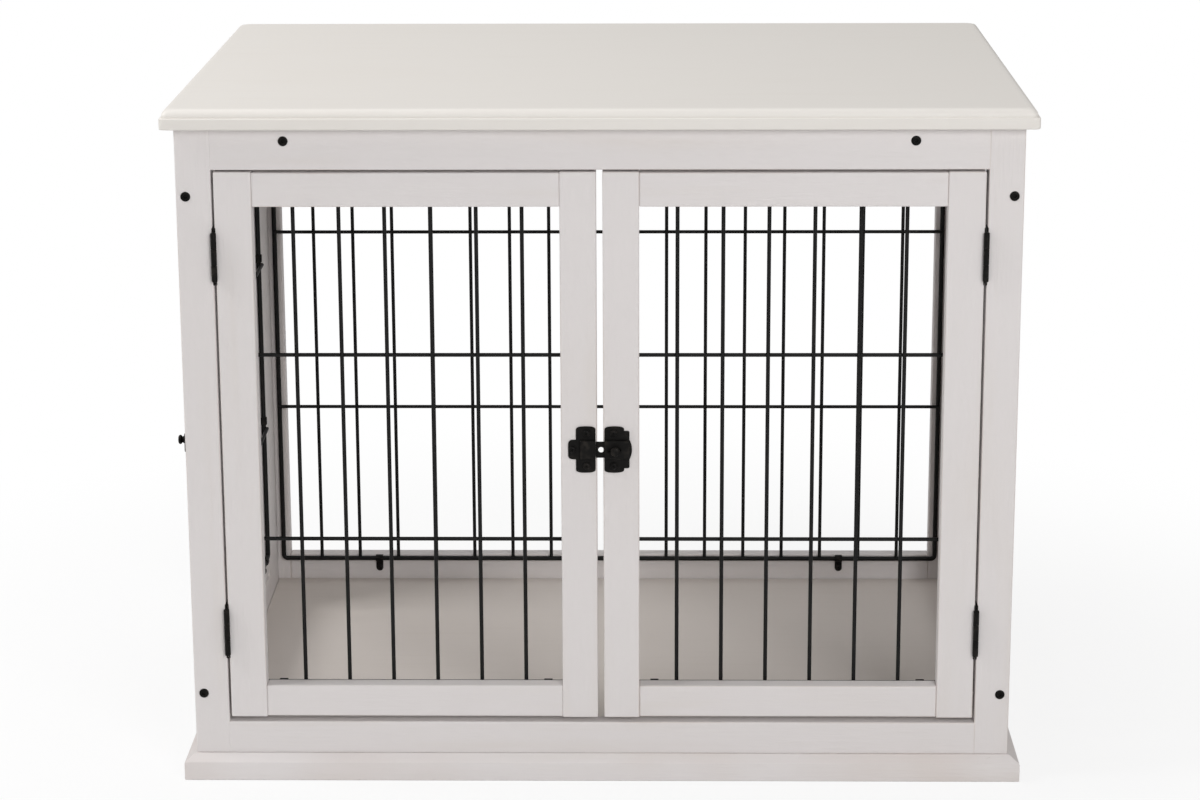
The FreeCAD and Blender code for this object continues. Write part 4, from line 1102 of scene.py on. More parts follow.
@dataclass
class Top:
    """The table top: a square lower edge, a small step and a rounded upper edge."""

    shop: Workshop
    face: float = 0.011
    step: float = 0.002
    rounding: float = 0.007
    ease: float = 0.0016
    corner: float = 0.004
    corner_growth: float = 0.6
    rim: float = 0.003
    finish: PaintedBoard = PaintedBoard("painted_top")

    def build(self) -> None:
        """Builds the top from outlines stacked up its edge profile."""
        low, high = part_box("table_top")
        height = high.z - low.z
        base = height - self.rounding
        worn, rubbed, soft, flat = 1.0, 0.6, 0.5, 0.0
        edge = arc((self.ease, self.ease), self.ease, 270, 180, 4)
        shoulder = arc((self.step + self.rounding, base), self.rounding, 180, 90, 8)
        tiers = [(inset, rise, worn) for inset, rise in edge]
        tiers += [(0.0, self.face - self.ease / 2, worn), (self.ease / 2, self.face, rubbed),
                  (self.step, self.face, flat)]
        tiers += [(inset, rise, soft) for inset, rise in shoulder]
        tiers.append((self.step + self.rounding + self.rim, height, flat))
        rings = [
            [Vector((x, y, low.z + z)) for x, y in self._outline(low, high, inset)]
            for inset, z, _ in tiers
        ]
        solid = Solid.rings(rings, [wear for _, _, wear in tiers], True)
        self.shop.put(solid, "painted_table_top", "crate", self.finish, Slot.TIMBER, "table_top")

    def _outline(self, low: Vector, high: Vector, inset: float) -> list[Point]:
        """The top's outline, drawn in by an inset.

        Args:
            low: The top's lowest corner.
            high: Its highest corner.
            inset: How far the outline is drawn in.

        Returns:
            The outline, with its corners rounder the further in it is.
        """
        radius = self.corner + inset * self.corner_growth
        return rounded_rectangle(
            (low.x + inset, low.y + inset), (high.x - inset, high.y - inset), radius
        )


@dataclass
class Plinth:
    """Four mitred mouldings with a bevelled face, which carry the frames and the floor."""

    shop: Workshop
    face: float = 0.018
    slope: float = 0.009
    section: float = 0.038
    ease: float = 0.0008

    def build(self) -> None:
        """Builds the front and rear mouldings and the pair at the sides."""
        low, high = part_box("plinth_front")
        reach = Vector((high.x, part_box("plinth_rear")[1].y))
        height = high.z - low.z
        front = self._moulding(reach.x, reach.y, height)
        side = self._moulding(reach.y, reach.x, height)
        turns = {name: Matrix.Rotation(math.radians(angle), 4, "Z")
                 for name, angle in (("rear", 180), ("left", -90), ("right", 90))}
        rear = front.moved(turns["rear"])
        sides = side.moved(turns["left"]) + side.moved(turns["right"])
        self.shop.painted(front, "plinth_front", "crate", Grain.ALONG_X)
        self.shop.painted(rear, "plinth_rear", "crate", Grain.ALONG_X)
        self.shop.painted(sides, "plinth_sides", "crate", Grain.ALONG_Y)

    def _moulding(self, half_length: float, distance: float, height: float) -> Solid:
        """A moulding along X whose face looks along -Y.

        Args:
            half_length: Half its length at its outer face.
            distance: How far its outer face is from the crate's middle.
            height: Its height.

        Returns:
            The moulding, with mitred ends.
        """
        e = self.ease
        profile = [
            (self.section, 0.0), (self.section, height), (self.slope + e, height),
            (self.slope - e * 0.7, height - e * 0.6), (e * 0.5, self.face + e * 0.4),
            (0.0, self.face - e), (0.0, e), (e, 0.0),
        ]
        wear = [0.0, 0.3, 1.0, 1.0, 1.0, 1.0, 1.0, 1.0]
        corners, arris = [], []
        for side in (-1.0, 1.0):
            for (depth, z), value in zip(profile, wear):
                corners.append(Vector((side * (half_length - depth), depth - distance, z)))
                arris.append(value)
        count = len(profile)
        faces = [(i, (i + 1) % count, (i + 1) % count + count, i + count) for i in range(count)]
        faces.append(tuple(reversed(range(count))))
        faces.append(tuple(range(count, 2 * count)))
        return Solid(corners, faces, arris)


@dataclass
class FloorBoard:
    """The thin board that the dog stands on, painted darker than the other boards as painted shade
    for the inside of the crate.
    """

    shop: Workshop
    ease: float = 0.0005
    # darker colours than the other boards' paint: painted shade for the inside of the crate
    finish: PaintedBoard = PaintedBoard("painted_shade_floor", (0.66, 0.608, 0.57), (0.60, 0.545, 0.495))

    def build(self) -> None:
        """Builds the board."""
        low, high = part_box("floor_panel")
        solid = Solid.bar(low, high, self.ease)
        self.shop.put(solid, "painted_floor_panel", "crate", self.finish, Slot.BOARD,
                      "floor_panel")


# ---------------------------------------------------------------- wire panels and clips


@dataclass
class WirePanel:
    """A welded panel: a bent edge rod, uprights in its plane and cross wires on the room side.

    The wires sink into each other by a weld, under a bead that is a share of their radius.
    """

    shop: Workshop
    node: str
    body: str
    run: Vector
    inwards: Vector
    uprights: int
    levels: tuple[float, float]
    rod: float = 0.0025
    wire: float = 0.0019
    bend: float = 0.004
    weld: float = 0.0003
    bead: float = 0.95

    def __post_init__(self) -> None:
        """Reads the panel's middle and reach from its node."""
        low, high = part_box(self.node)
        middle = (low + high) / 2
        outer = low if self.inwards.x + self.inwards.y > 0 else high
        self.half_run = abs((high - low).dot(self.run)) / 2 - self.rod
        self.half_rise = (high.z - low.z) / 2 - self.rod
        plane = outer.dot(self.inwards) + self.rod
        along = middle.dot(self.run)
        self.middle = self.run * along + self.inwards * plane + UP * middle.z

    def point(self, along: float, rise: float, depth: float = 0.0) -> Vector:
        """A point of the panel, from its middle."""
        return self.middle + self.run * along + UP * rise + self.inwards * depth

    def build(self) -> None:
        """Builds the panel with a bead at each weld."""
        behind = 2 * self.wire - self.weld
        parts = [self._rod()]
        places = [
            (2 * (i + 1) / (self.uprights + 1) - 1) * self.half_run for i in range(self.uprights)
        ]
        for along in places:
            ends = self.point(along, -self.half_rise), self.point(along, self.half_rise)
            parts.append(Solid.wire(*ends, self.wire, self.inwards))
            foot = self.half_rise - self.rod
            parts += [self._bead(along, side * foot, 0.0) for side in (-1, 1)]
        for level in self.levels:
            rise = level - self.middle.z
            reach = self.half_run + self.rod / 2
            ends = self.point(-reach, rise, behind), self.point(reach, rise, behind)
            parts.append(Solid.wire(*ends, self.wire, self.inwards))
            parts += [self._bead(along, rise, behind / 2) for along in places]
            parts += [self._bead(side * self.half_run, rise, behind * 0.6) for side in (-1, 1)]
        self.shop.put(Solid.gathered(parts), f"coated_{self.node}", self.body, PowderCoat(),
                      Slot.WIRE, self.node)

    def _rod(self) -> Solid:
        """The closed edge rod with its four bends.

        Returns:
            The rod.
        """
        path = rounded_rectangle(
            (-self.half_run, -self.half_rise), (self.half_run, self.half_rise), self.bend, 6
        )
        points = [self.point(along, rise) for along, rise in path]
        return Solid.tube(points, self.rod, self.inwards, True, 16)

    def _bead(self, along: float, rise: float, depth: float) -> Solid:
        """A weld where two wires meet."""
        size = self.wire * self.bead
        return Solid.bead(self.point(along, rise, depth), Vector((size, size, size)))


@dataclass
class Clips:
    """Saddle clips that hold a wire panel, each with its tail away from the opening.

    Those on the rails stand in a gap between uprights, counted from the panel's sides.
    """

    panel: WirePanel
    rail_gap: int
    levels: tuple[float, ...]
    strap: float = 0.001
    width: float = 0.008
    play: float = 0.0001
    reach: float = 0.0105
    tail: float = 0.005
    rod_gap: float = 0.0002
    overlap: float = 0.0002
    fillet: float = 0.0008
    foot: float = 0.0084
    ease: float = 0.00018

    def poses(self) -> list[Matrix]:
        """The place of each clip on the timber's face.

        Returns:
            One place for each clip.
        """
        panel = self.panel
        back = -(panel.rod + self.rod_gap)
        place = panel.half_run * (1 - (2 * self.rail_gap - 1) / (panel.uprights + 1))
        poses = []
        for sign in (-1.0, 1.0):
            for along in (-place, place):
                point = panel.point(along, sign * panel.half_rise, back)
                poses.append(self._pose(point, UP * sign))
            for level in self.levels:
                point = panel.point(sign * panel.half_run, level - panel.middle.z, back)
                poses.append(self._pose(point, panel.run * sign))
        return poses

    def _pose(self, point: Vector, outwards: Vector) -> Matrix:
        """A clip's place, with its tail pointing outwards."""
        return pose(point, (-outwards).cross(self.panel.inwards), self.panel.inwards)

    def solid(self) -> Solid:
        """One clip: X along the rod, Z off the timber, and its tail towards -Y.

        Returns:
            The clip.
        """
        inner = self.panel.rod + self.play
        outer = inner + self.strap
        rise = self.panel.rod + self.rod_gap
        end = -(self.reach + self.tail)
        half, foot, fillet = self.width / 2, -self.foot, self.fillet
        outline = [(foot, 0.0), (-inner, 0.0)]
        outline += arc((0.0, rise), inner, 180, 0, 14)
        outline += [(inner, 0.0), (outer, 0.0)]
        outline += arc((0.0, rise), outer, 0, 180, 16)
        outline += [
            (-outer, self.strap + fillet), (-outer - fillet * 0.3, self.strap + fillet * 0.3),
            (-outer - fillet, self.strap), (foot, self.strap),
        ]
        turn = Matrix(((0, 0, 1, 0), (1, 0, 0, 0), (0, 1, 0, 0), (0, 0, 0, 1)))
        bent = Solid.plate(outline, -half, half, self.ease).moved(turn)
        tail = [(half, foot - self.overlap), (-half, foot - self.overlap)]
        tail += arc((0.0, end + half), half, 180, 360, 12)
        return bent + Solid.plate(tail, 0.0, self.strap, self.ease)

    def screw_poses(self) -> list[Matrix]:
        """The place of each clip's screw, on top of its tail."""
        return [place @ Matrix.Translation((0, -self.reach, self.strap)) for place in self.poses()]


# ---------------------------------------------------------------- screws and bolts


@dataclass
class Screws:
    """The small screws and the frame bolts, with their driver recesses."""

    shop: Workshop
    pan_head: float = 0.0035
    pan_height: float = 0.0024
    pan_length: float = 0.013
    pan_shank: float = 0.0013
    pan_point: float = 0.0025
    pan_rim: float = 0.25
    pan_cross: float = 0.0012
    flat_head: float = 0.0025
    flat_length: float = 0.014
    flat_shank: float = 0.0012
    flat_point: float = 0.002
    flat_cross: float = 0.0008
    tip: float = 0.0002
    slot: float = 0.0009
    slot_turn: float = 0.35
    bolt_shank: float = 0.003
    bolt_reach: float = 0.04
    bolt_ease: float = 0.0006
    bolt_head: float = 0.0045
    bolt_proud: float = 0.0008
    bolt_sink: float = 0.0022
    socket: float = 0.004
    socket_depth: float = 0.002
    bearer_place: float = 0.292
    bolt_from_top: float = 0.064
    bolt_from_bottom: float = 0.061
    bearer: float = 0.024
    play: float = 0.0002

    def pan(self) -> Solid:
        """A dome-headed screw on its own axis: its head sits on Z = 0.

        Returns:
            The screw.
        """
        head, top, rim = self.pan_head, self.pan_height, self.pan_rim
        dome = [(head * across, top * (rim + (1 - rim) * up))
                for across, up in arc((0.0, 0.0), 1.0, 0, 82, 7)]
        shank, foot = self.pan_shank, -self.pan_length
        profile = [(self.tip, foot), (shank, foot + self.pan_point), (shank, 0.0),
                   (head * 0.98, 0.0)] + dome
        return self._crossed(Solid.turned(profile, 28), head * 1.05, self.pan_cross, top)

    def flat(self) -> Solid:
        """A countersunk screw on its own axis: its head ends just under Z = 0.

        Returns:
            The screw.
        """
        head, shank, foot = self.flat_head * 0.96, self.flat_shank, -self.flat_length
        profile = [(self.tip, foot), (shank, foot + self.flat_point), (shank, -shank),
                   (head, -0.00015), (head * 0.9, -0.00003)]
        return self._crossed(Solid.turned(profile, 24), head * 1.15, self.flat_cross, 0.0)

    def _crossed(self, screw: Solid, arm: float, depth: float, top: float) -> Solid:
        """A screw with a cross recess.

        Args:
            screw: The screw without its recess.
            arm: The length of the recess.
            depth: Its depth.
            top: The height of the head.

        Returns:
            The screw, cut by two tapered blades.
        """
        for angle in (0.0, math.pi / 2):
            half, thin = arm / 2, self.slot / 2
            tiers = [(half * 0.55, thin * 0.6, top - depth), (half, thin, top + 0.0004)]
            rings = [
                [Vector((x, y, z)) for x, y in ((-a, -b), (a, -b), (a, b), (-a, b))]
                for a, b, z in tiers
            ]
            blade = Solid.rings(rings, [0.0, 0.0], True)
            screw = screw.cut(blade.moved(Matrix.Rotation(angle + self.slot_turn, 4, "Z")))
        return screw

    def bolt(self) -> Solid:
        """A frame bolt's head with its hex socket, on its own axis.

        Returns:
            The head and a length of its shank.
        """
        head, top, soft = self.bolt_head, self.bolt_proud, self.bolt_ease
        profile = [(self.bolt_shank, -self.bolt_reach), (self.bolt_shank, -self.bolt_sink),
                   (head, -self.bolt_sink), (head, top - soft),
                   (head - soft * 0.3, top - soft * 0.3), (head - soft, top)]
        socket = arc((0.0, 0.0), self.socket / math.sqrt(3), 0, 300, 5)
        key = Solid.plate(socket, top - self.socket_depth, top + PAST, KEEN)
        return Solid.turned(profile, 32).cut(key)

    def bore(self) -> Solid:
        """The counterbore that a bolt's head sits in.

        Returns:
            The tool that cuts it.
        """
        reach = self.bolt_head + self.play
        profile = [(reach, -self.bolt_sink - self.play), (reach, self.bolt_proud)]
        return Solid.turned(profile, 32)

    def bolt_poses(self) -> list[Matrix]:
        """The place of each frame bolt on the front and the rear face.

        Returns:
            One place for each bolt, with Z out of the timber.
        """
        low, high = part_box("front_stile_left")
        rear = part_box("rear_stiles")[1].y
        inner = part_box("left_side_front_stile")[1].x
        side = -inner + (inner - low.x) / 2
        spots = [(side, low.z + self.bolt_from_bottom), (side, high.z - self.bolt_from_top),
                 (self.bearer_place, high.z - self.bearer / 2)]
        return [
            pose((x * hand, y, z), (1, 0, 0), (0, out, 0))
            for x, z in spots
            for hand in (-1, 1)
            for y, out in ((low.y, -1), (rear, 1))
        ]

    def put(self, name: str, body: str, pans: list[Matrix], flats: list[Matrix]) -> None:
        """Sets one node's screws.

        Args:
            name: The node that they replace.
            body: The body that they ride on.
            pans: Where the dome-headed screws go.
            flats: Where the countersunk screws go.
        """
        pan, flat = self.pan(), self.flat()
        screws = [pan.moved(place) for place in pans] + [flat.moved(place) for place in flats]
        self.shop.blacked(Solid.gathered(screws), name, body)

    def put_bolts(self) -> None:
        """Sets the frame bolts."""
        head = self.bolt()
        bolts = Solid.gathered(head.moved(place) for place in self.bolt_poses())
        self.shop.blacked(bolts, "frame_bolts", "crate")


# ---------------------------------------------------------------- hinges


@dataclass
class Hinge:
    """A butt hinge on its own axes: Z is its pin, X runs from the post to the door, and the
    timber's face is a little way along +Y."""

    knuckle: float = 0.00275
    pin: float = 0.0013
    height: float = 0.056
    knuckles: float = 0.046
    split: float = 0.0002
    gap: float = 0.002
    leaf_thickness: float = 0.0012
    leaf_depth: float = 0.016
    face: float = 0.0031
    screw_rise: float = 0.019
    corner: float = 0.0016
    sink_head: float = 0.0026
    sink_shank: float = 0.0014
    cap: float = 0.0008
    cap_share: float = 0.85
    cap_play: float = 0.00005
    ease: float = 0.00018

    def leaf(self, on_door: bool) -> Solid:
        """One leaf with its knuckles.

        Args:
            on_door: True for the door's leaf, which has the middle knuckle.

        Returns:
            The leaf.
        """
        x = self.gap - self.leaf_thickness if on_door else -self.gap
        outline = rounded_rectangle(
            (self.face, -self.height / 2), (self.face + self.leaf_depth, self.height / 2),
            self.corner,
        )
        stand = Matrix(((0, 0, 1, x), (1, 0, 0, 0), (0, 1, 0, 0), (0, 0, 0, 1)))
        flap = Solid.plate(outline, 0.0, self.leaf_thickness, self.ease).moved(stand)
        for spot in self.screw_spots(on_door):
            flap = flap.cut(self._sink().moved(spot))
        parts = [flap]
        third = self.knuckles / 6
        bands = [(self.split - third, third - self.split)] if on_door else [
            (-self.knuckles / 2, -third - self.split), (third + self.split, self.knuckles / 2)
        ]
        for low, high in bands:
            parts.append(self._barrel(low, high))
            web_low = Vector((x, 0.0, low + self.ease))
            web_high = Vector((x + self.leaf_thickness, self.face + 0.001, high - self.ease))
            parts.append(Solid.bar(web_low, web_high, self.ease))
        return Solid.gathered(parts)

    def _sink(self) -> Solid:
        """The countersunk hole of a screw.

        Returns:
            The tool that cuts it.
        """
        head, shank = self.sink_head, self.sink_shank
        through = -2 * self.leaf_thickness
        profile = [(shank, through), (shank, shank - head), (head, 0.0), (head, PAST)]
        return Solid.turned(profile, 24)

    def _barrel(self, low: float, high: float) -> Solid:
        """A rolled knuckle between two heights.

        Args:
            low: The height of its foot.
            high: The height of its head.

        Returns:
            The knuckle, bored for the pin.
        """
        r, e = self.knuckle, self.ease * 1.5
        profile = [(self.pin, low), (r - e, low), (r, low + e), (r, high - e), (r - e, high)]
        return Solid.turned(profile + [(self.pin, high)], 28)

    def rod(self) -> Solid:
        """The pin with its two caps.

        Returns:
            The pin.
        """
        end = self.knuckles / 2 + self.cap_play
        wide = self.knuckle * self.cap_share
        crown = [(wide, end), (wide * 0.8, end + self.cap * 0.7), (self.pin * 0.7, end + self.cap)]
        foot = [(radius, -z) for radius, z in reversed(crown)]
        return Solid.turned(foot + [(self.pin, -end), (self.pin, end)] + crown, 24)

    def screw_spots(self, on_door: bool) -> list[Matrix]:
        """The screws of one leaf, driven from the gap.

        Args:
            on_door: True for the door's leaf.

        Returns:
            The places of its screws.
        """
        side = 1.0 if on_door else -1.0
        x = side * (self.gap - self.leaf_thickness)
        y = self.face + self.leaf_depth / 2
        return [pose((x, y, z), (0, 1, 0), (-side, 0, 0))
                for z in (-self.screw_rise, self.screw_rise)]


@dataclass
class DoorHinges:
    """The two hinges of one door."""

    shop: Workshop
    door: str
    mirrored: bool = False
    hinge: Hinge = field(default_factory=Hinge)

    def poses(self) -> list[Matrix]:
        """The places of both hinges, on the door's joint line.

        Returns:
            The lower and the upper place.
        """
        x, y, _ = self.shop.joint(f"{self.door}_hinge")["pos_m"]
        low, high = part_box(f"{self.door}_hinge_leaves")
        half = self.hinge.height / 2
        along = (0, -1, 0) if self.door == "side_door" else (1, 0, 0)
        flip = Matrix.Scale(-1.0, 4, (1, 0, 0)) if self.mirrored else Matrix.Identity(4)
        return [pose((x, y, z), along, UP) @ flip for z in (low.z + half, high.z - half)]

    def leaves(self, on_door: bool) -> Solid:
        """The leaves of both hinges on one side."""
        leaf = self.hinge.leaf(on_door)
        return Solid.gathered(leaf.moved(place) for place in self.poses())

    def pins(self) -> Solid:
        """The pins of both hinges."""
        rod = self.hinge.rod()
        return Solid.gathered(rod.moved(place) for place in self.poses())

    def screw_poses(self, on_door: bool) -> list[Matrix]:
        """The screws of both hinges on one side."""
        return [place @ spot for place in self.poses() for spot in self.hinge.screw_spots(on_door)]


# ---------------------------------------------------------------- latches


@dataclass
class Latch:
    """A slide latch on its own axes: X along the bolt from the middle of the gap, Y up and Z off
    the timber.

    The rim of the slide's hole is given as steps out from the hole and off the slide, the knob as
    shares of its radius and its rise.
    """

    shop: Workshop
    keeper_node: str
    housing_node: str
    bolt_node: str
    keeper_body: str
    housing_body: str
    bolt_body: str
    start: float = 0.0042
    main: float = 0.0186
    half_height: float = 0.0227
    half_straight: float = 0.0198
    shoulder: float = 0.005
    shoulder_half: float = 0.0182
    arm_reach: float = 0.026
    arm_half: float = 0.0095
    keeper_corner: float = 0.004
    sheet: float = 0.0012
    room: float = 0.0029
    channel_half: float = 0.0092
    keeper_channel: float = 0.0148
    housing_channel: float = 0.0236
    screw_place: float = 0.0086
    screw_rise: float = 0.016
    arm_screw: float = 0.022
    lift: float = 0.0003
    slide: float = 0.0016
    slide_half: float = 0.0078
    slide_corner: float = 0.0008
    nose: float = -0.0040
    tail: float = 0.0223
    hole: float = 0.0028
    hole_place: float = 0.0050
    knob_place: float = 0.0145
    knob: float = 0.0045
    knob_top: float = 0.0116
    knob_low: float = 0.0052
    neck: float = 0.0017
    lock_travel: float = 0.0065
    open_travel: float = 0.0035
    slot_play: float = 0.0003
    shoulder_cut: float = 0.001
    arm_step: float = 0.0006
    screw_hole: float = 0.0016
    bow_across: float = 0.74
    bow_up: float = 0.92
    ease: float = 0.00022
    rim: tuple[Point, ...] = (
        (0.0011, -0.0004), (0.0009, 0.0003), (0.00055, 0.0004), (0.0, 0.0002), (0.0, -0.0004),
    )
    knob_shape: tuple[Point, ...] = (
        (0.66, 0.0), (0.76, 0.05), (0.8, 0.16), (0.72, 0.27), (0.62, 0.36), (0.74, 0.44),
        (0.95, 0.53), (1.0, 0.62), (0.99, 0.76), (0.88, 0.88), (0.66, 0.96), (0.36, 0.995),
        (0.08, 1.0),
    )

    def place(self) -> Matrix:
        """The latch's place, read from its keeper and its housing.

        Returns:
            Where the latch's own axes are.
        """
        keeper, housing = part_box(self.keeper_node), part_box(self.housing_node)
        middle_z = (housing[0].z + housing[1].z) / 2
        if self.housing_body == "crate":
            y = (keeper[0].y + housing[1].y) / 2
            return pose((housing[1].x, y, middle_z), (0, -1, 0), (-1, 0, 0))
        x = (keeper[1].x + housing[0].x) / 2
        return pose((x, housing[1].y, middle_z), (1, 0, 0), (0, -1, 0))

    def build(self) -> None:
        """Builds the keeper, the housing and the bolt."""
        place = self.place()
        keeper = self._plate(False) + self._channel(self.keeper_channel)
        flip = Matrix.Scale(-1.0, 4, (1, 0, 0))
        slotted = self._channel(self.housing_channel).cut(self._slot())
        housing = self._plate(True) + slotted
        for solid, node, body in (
            (keeper.moved(flip), self.keeper_node, self.keeper_body),
            (housing, self.housing_node, self.housing_body),
            (self._bolt(), self.bolt_node, self.bolt_body),
        ):
            self.shop.blacked(solid.moved(place), node, body)

    def _plate(self, shouldered: bool) -> Solid:
        """A pressed plate beside the channel, with a bowed top and bottom and an arm.

        Args:
            shouldered: True for the housing, whose arm is bowed and has shoulders.

        Returns:
            The plate, pierced for its screws and open under its channel.
        """
        s, m = self.start, self.start + self.main
        end = s + self.arm_reach
        if shouldered:
            step = m + self.shoulder
            bulge = end - step
            radius = (self.arm_half ** 2 + bulge ** 2) / (2 * bulge)
            sweep = math.degrees(math.asin(self.arm_half / radius))
            low, cut = -self.shoulder_half, self.shoulder_cut
            side = [(m, low), (step - cut, low), (step, low + cut)]
            side += arc((end - radius, 0.0), radius, -sweep, -0.1 * sweep, 6)
        else:
            corner = self.keeper_corner
            side = [(m, -self.arm_half - self.arm_step), (m + self.arm_step, -self.arm_half)]
            side += arc((end - corner, corner - self.arm_half), corner, -90, 0, 6)
        lower = [(x, -y) for x, y in reversed(self._bow(s, m))]
        mirrored = [(x, -y) for x, y in reversed(side)]
        outline = lower + side + mirrored + self._bow(s, m)
        hole = Solid.turned([(self.screw_hole, -PAST), (self.screw_hole, 3 * PAST)], 20)
        holes = [hole.at(x, y, 0) for x, y in self.screw_spots(not shouldered)]
        tunnel = Solid.bar(
            Vector((s - 2 * PAST, -self.channel_half + self.sheet, -PAST)),
            Vector((s + self._channel_reach(shouldered) - self.sheet,
                    self.channel_half - self.sheet, 4 * PAST)), 0.0001,
        )
        plate = Solid.plate(outline, 0.0, self.sheet, self.ease)
        for tool in holes + [tunnel]:
            plate = plate.cut(tool)
        return plate

    def _bow(self, start: float, end: float) -> list[Point]:
        """The bowed upper end of a plate, from right to left, with full round corners.

        Args:
            start: The plate's left side.
            end: Its right side.

        Returns:
            Points on half a superellipse.
        """
        middle, half = (start + end) / 2, (end - start) / 2
        rise = self.half_height - self.half_straight
        points = []
        for index in range(15):
            turn = math.pi * index / 14
            across, up = math.cos(turn), math.sin(turn)
            x = middle + half * math.copysign(abs(across) ** self.bow_across, across)
            points.append((x, self.half_straight + rise * up ** self.bow_up))
        return points

    def _channel_reach(self, shouldered: bool) -> float:
        """How long the raised channel of a plate is."""
        return self.housing_channel if shouldered else self.keeper_channel

    def _channel(self, reach: float) -> Solid:
        """The raised channel: a closed end, two walls and a roof with round corners.

        Args:
            reach: Its length.

        Returns:
            The channel, hollow and open at its mouth.
        """
        half, top = self.channel_half, self.room + self.sheet
        outer = rounded_rectangle((self.start, -half), (self.start + reach, half), self.sheet, 5)
        rings = []
        for inset, z in arc((self.sheet, top - self.sheet), self.sheet, 180, 90, 5):
            corner = (self.start + reach - inset, half - inset)
            ring = rounded_rectangle((self.start, inset - half), corner, self.sheet, 5)
            rings.append([Vector((x, y, z)) for x, y in ring])
        foot = [Vector((x, y, self.sheet * 0.5)) for x, y in outer]
        shell = Solid.rings([foot] + rings, [0.0] + [0.6] * 6, True)
        room = half - self.sheet
        hollow = Solid.bar(
            Vector((self.start - 3 * PAST, -room, -2 * PAST)),
            Vector((self.start + reach - self.sheet, room, self.room)), 0.0002,
        )
        return shell.cut(hollow)

    def _slot(self) -> Solid:
        """The slot that the knob's neck slides along.

        Returns:
            The tool that cuts it.
        """
        radius = self.neck + self.slot_play
        outline = rounded_rectangle(
            (self.knob_place - self.lock_travel - radius, -radius),
            (self.knob_place + self.open_travel + radius, radius), radius * 0.96, 6,
        )
        return Solid.plate(outline, self.room - 0.0005, self.room + 4 * PAST, KEEN)

    def _bolt(self) -> Solid:
        """The slide with its rimmed hole, and the grooved knob riveted into it.

        Returns:
            The bolt.
        """
        outline = rounded_rectangle(
            (self.nose, -self.slide_half), (self.tail, self.slide_half), self.slide_corner, 5
        )
        at = self.nose + self.hole_place
        top = self.lift + self.slide
        bore = Solid.turned([(self.hole, -PAST), (self.hole, 4 * PAST)], 32).at(at, 0, 0)
        slide = Solid.plate(outline, self.lift, top, self.ease).cut(bore)
        turns = [2 * math.pi * i / 32 for i in range(32)]
        rings = [
            [Vector((at + radius * math.cos(t), radius * math.sin(t), top + up)) for t in turns]
            for radius, up in ((self.hole + out, up) for out, up in self.rim)
        ]
        raised = Solid.rings(rings, [1.0] * len(rings), False)
        return slide + raised + self._knob().at(self.knob_place, 0, 0)

    def _knob(self) -> Solid:
        """The turned knob: a thin neck, a groove and a soft crown.

        Returns:
            The knob.
        """
        low = self.knob_low
        rise = self.knob_top - low
        neck = [(self.neck, self.lift + 0.0004), (self.neck, low - 0.0001)]
        crown = [(self.knob * across, low + rise * up) for across, up in self.knob_shape]
        return Solid.turned(neck + crown, 32)

    def screw_spots(self, with_arm: bool) -> list[Point]:
        """Where a plate's screws are, on the latch's own axes.

        Args:
            with_arm: True for the keeper, which has a third screw in its arm.

        Returns:
            The places of the screws.
        """
        x = self.start + self.screw_place
        spots = [(x, self.screw_rise), (x, -self.screw_rise)]
        return spots + [(self.start + self.arm_screw, 0.0)] if with_arm else spots

    def screw_poses(self, on_keeper: bool) -> list[Matrix]:
        """The screws of the keeper or of the housing.

        Args:
            on_keeper: True for the keeper's screws.

        Returns:
            The places of the screws, in the crate's frame.
        """
        side = -1.0 if on_keeper else 1.0
        return [self.place() @ Matrix.Translation((x * side, y, self.sheet))
                for x, y in self.screw_spots(on_keeper)]


# ---------------------------------------------------------------- the studio


@dataclass(frozen=True)
class Lamp:
    """A square soft box: where it stands, what it looks at, its side and its watts."""

    name: str
    position: Spot
    target: Spot
    size: float
    power: float

    def shine(self) -> None:
        """Sets the lamp in the scene."""
        data = bpy.data.lights.new(self.name, "AREA")
        data.shape = "SQUARE"
        data.size = self.size
        data.energy = self.power
        lamp = bpy.data.objects.new(self.name, data)
        away = Vector(self.position) - Vector(self.target)
        lamp.matrix_world = pose(self.position, UP.cross(away), away)
        bpy.context.scene.collection.objects.link(lamp)


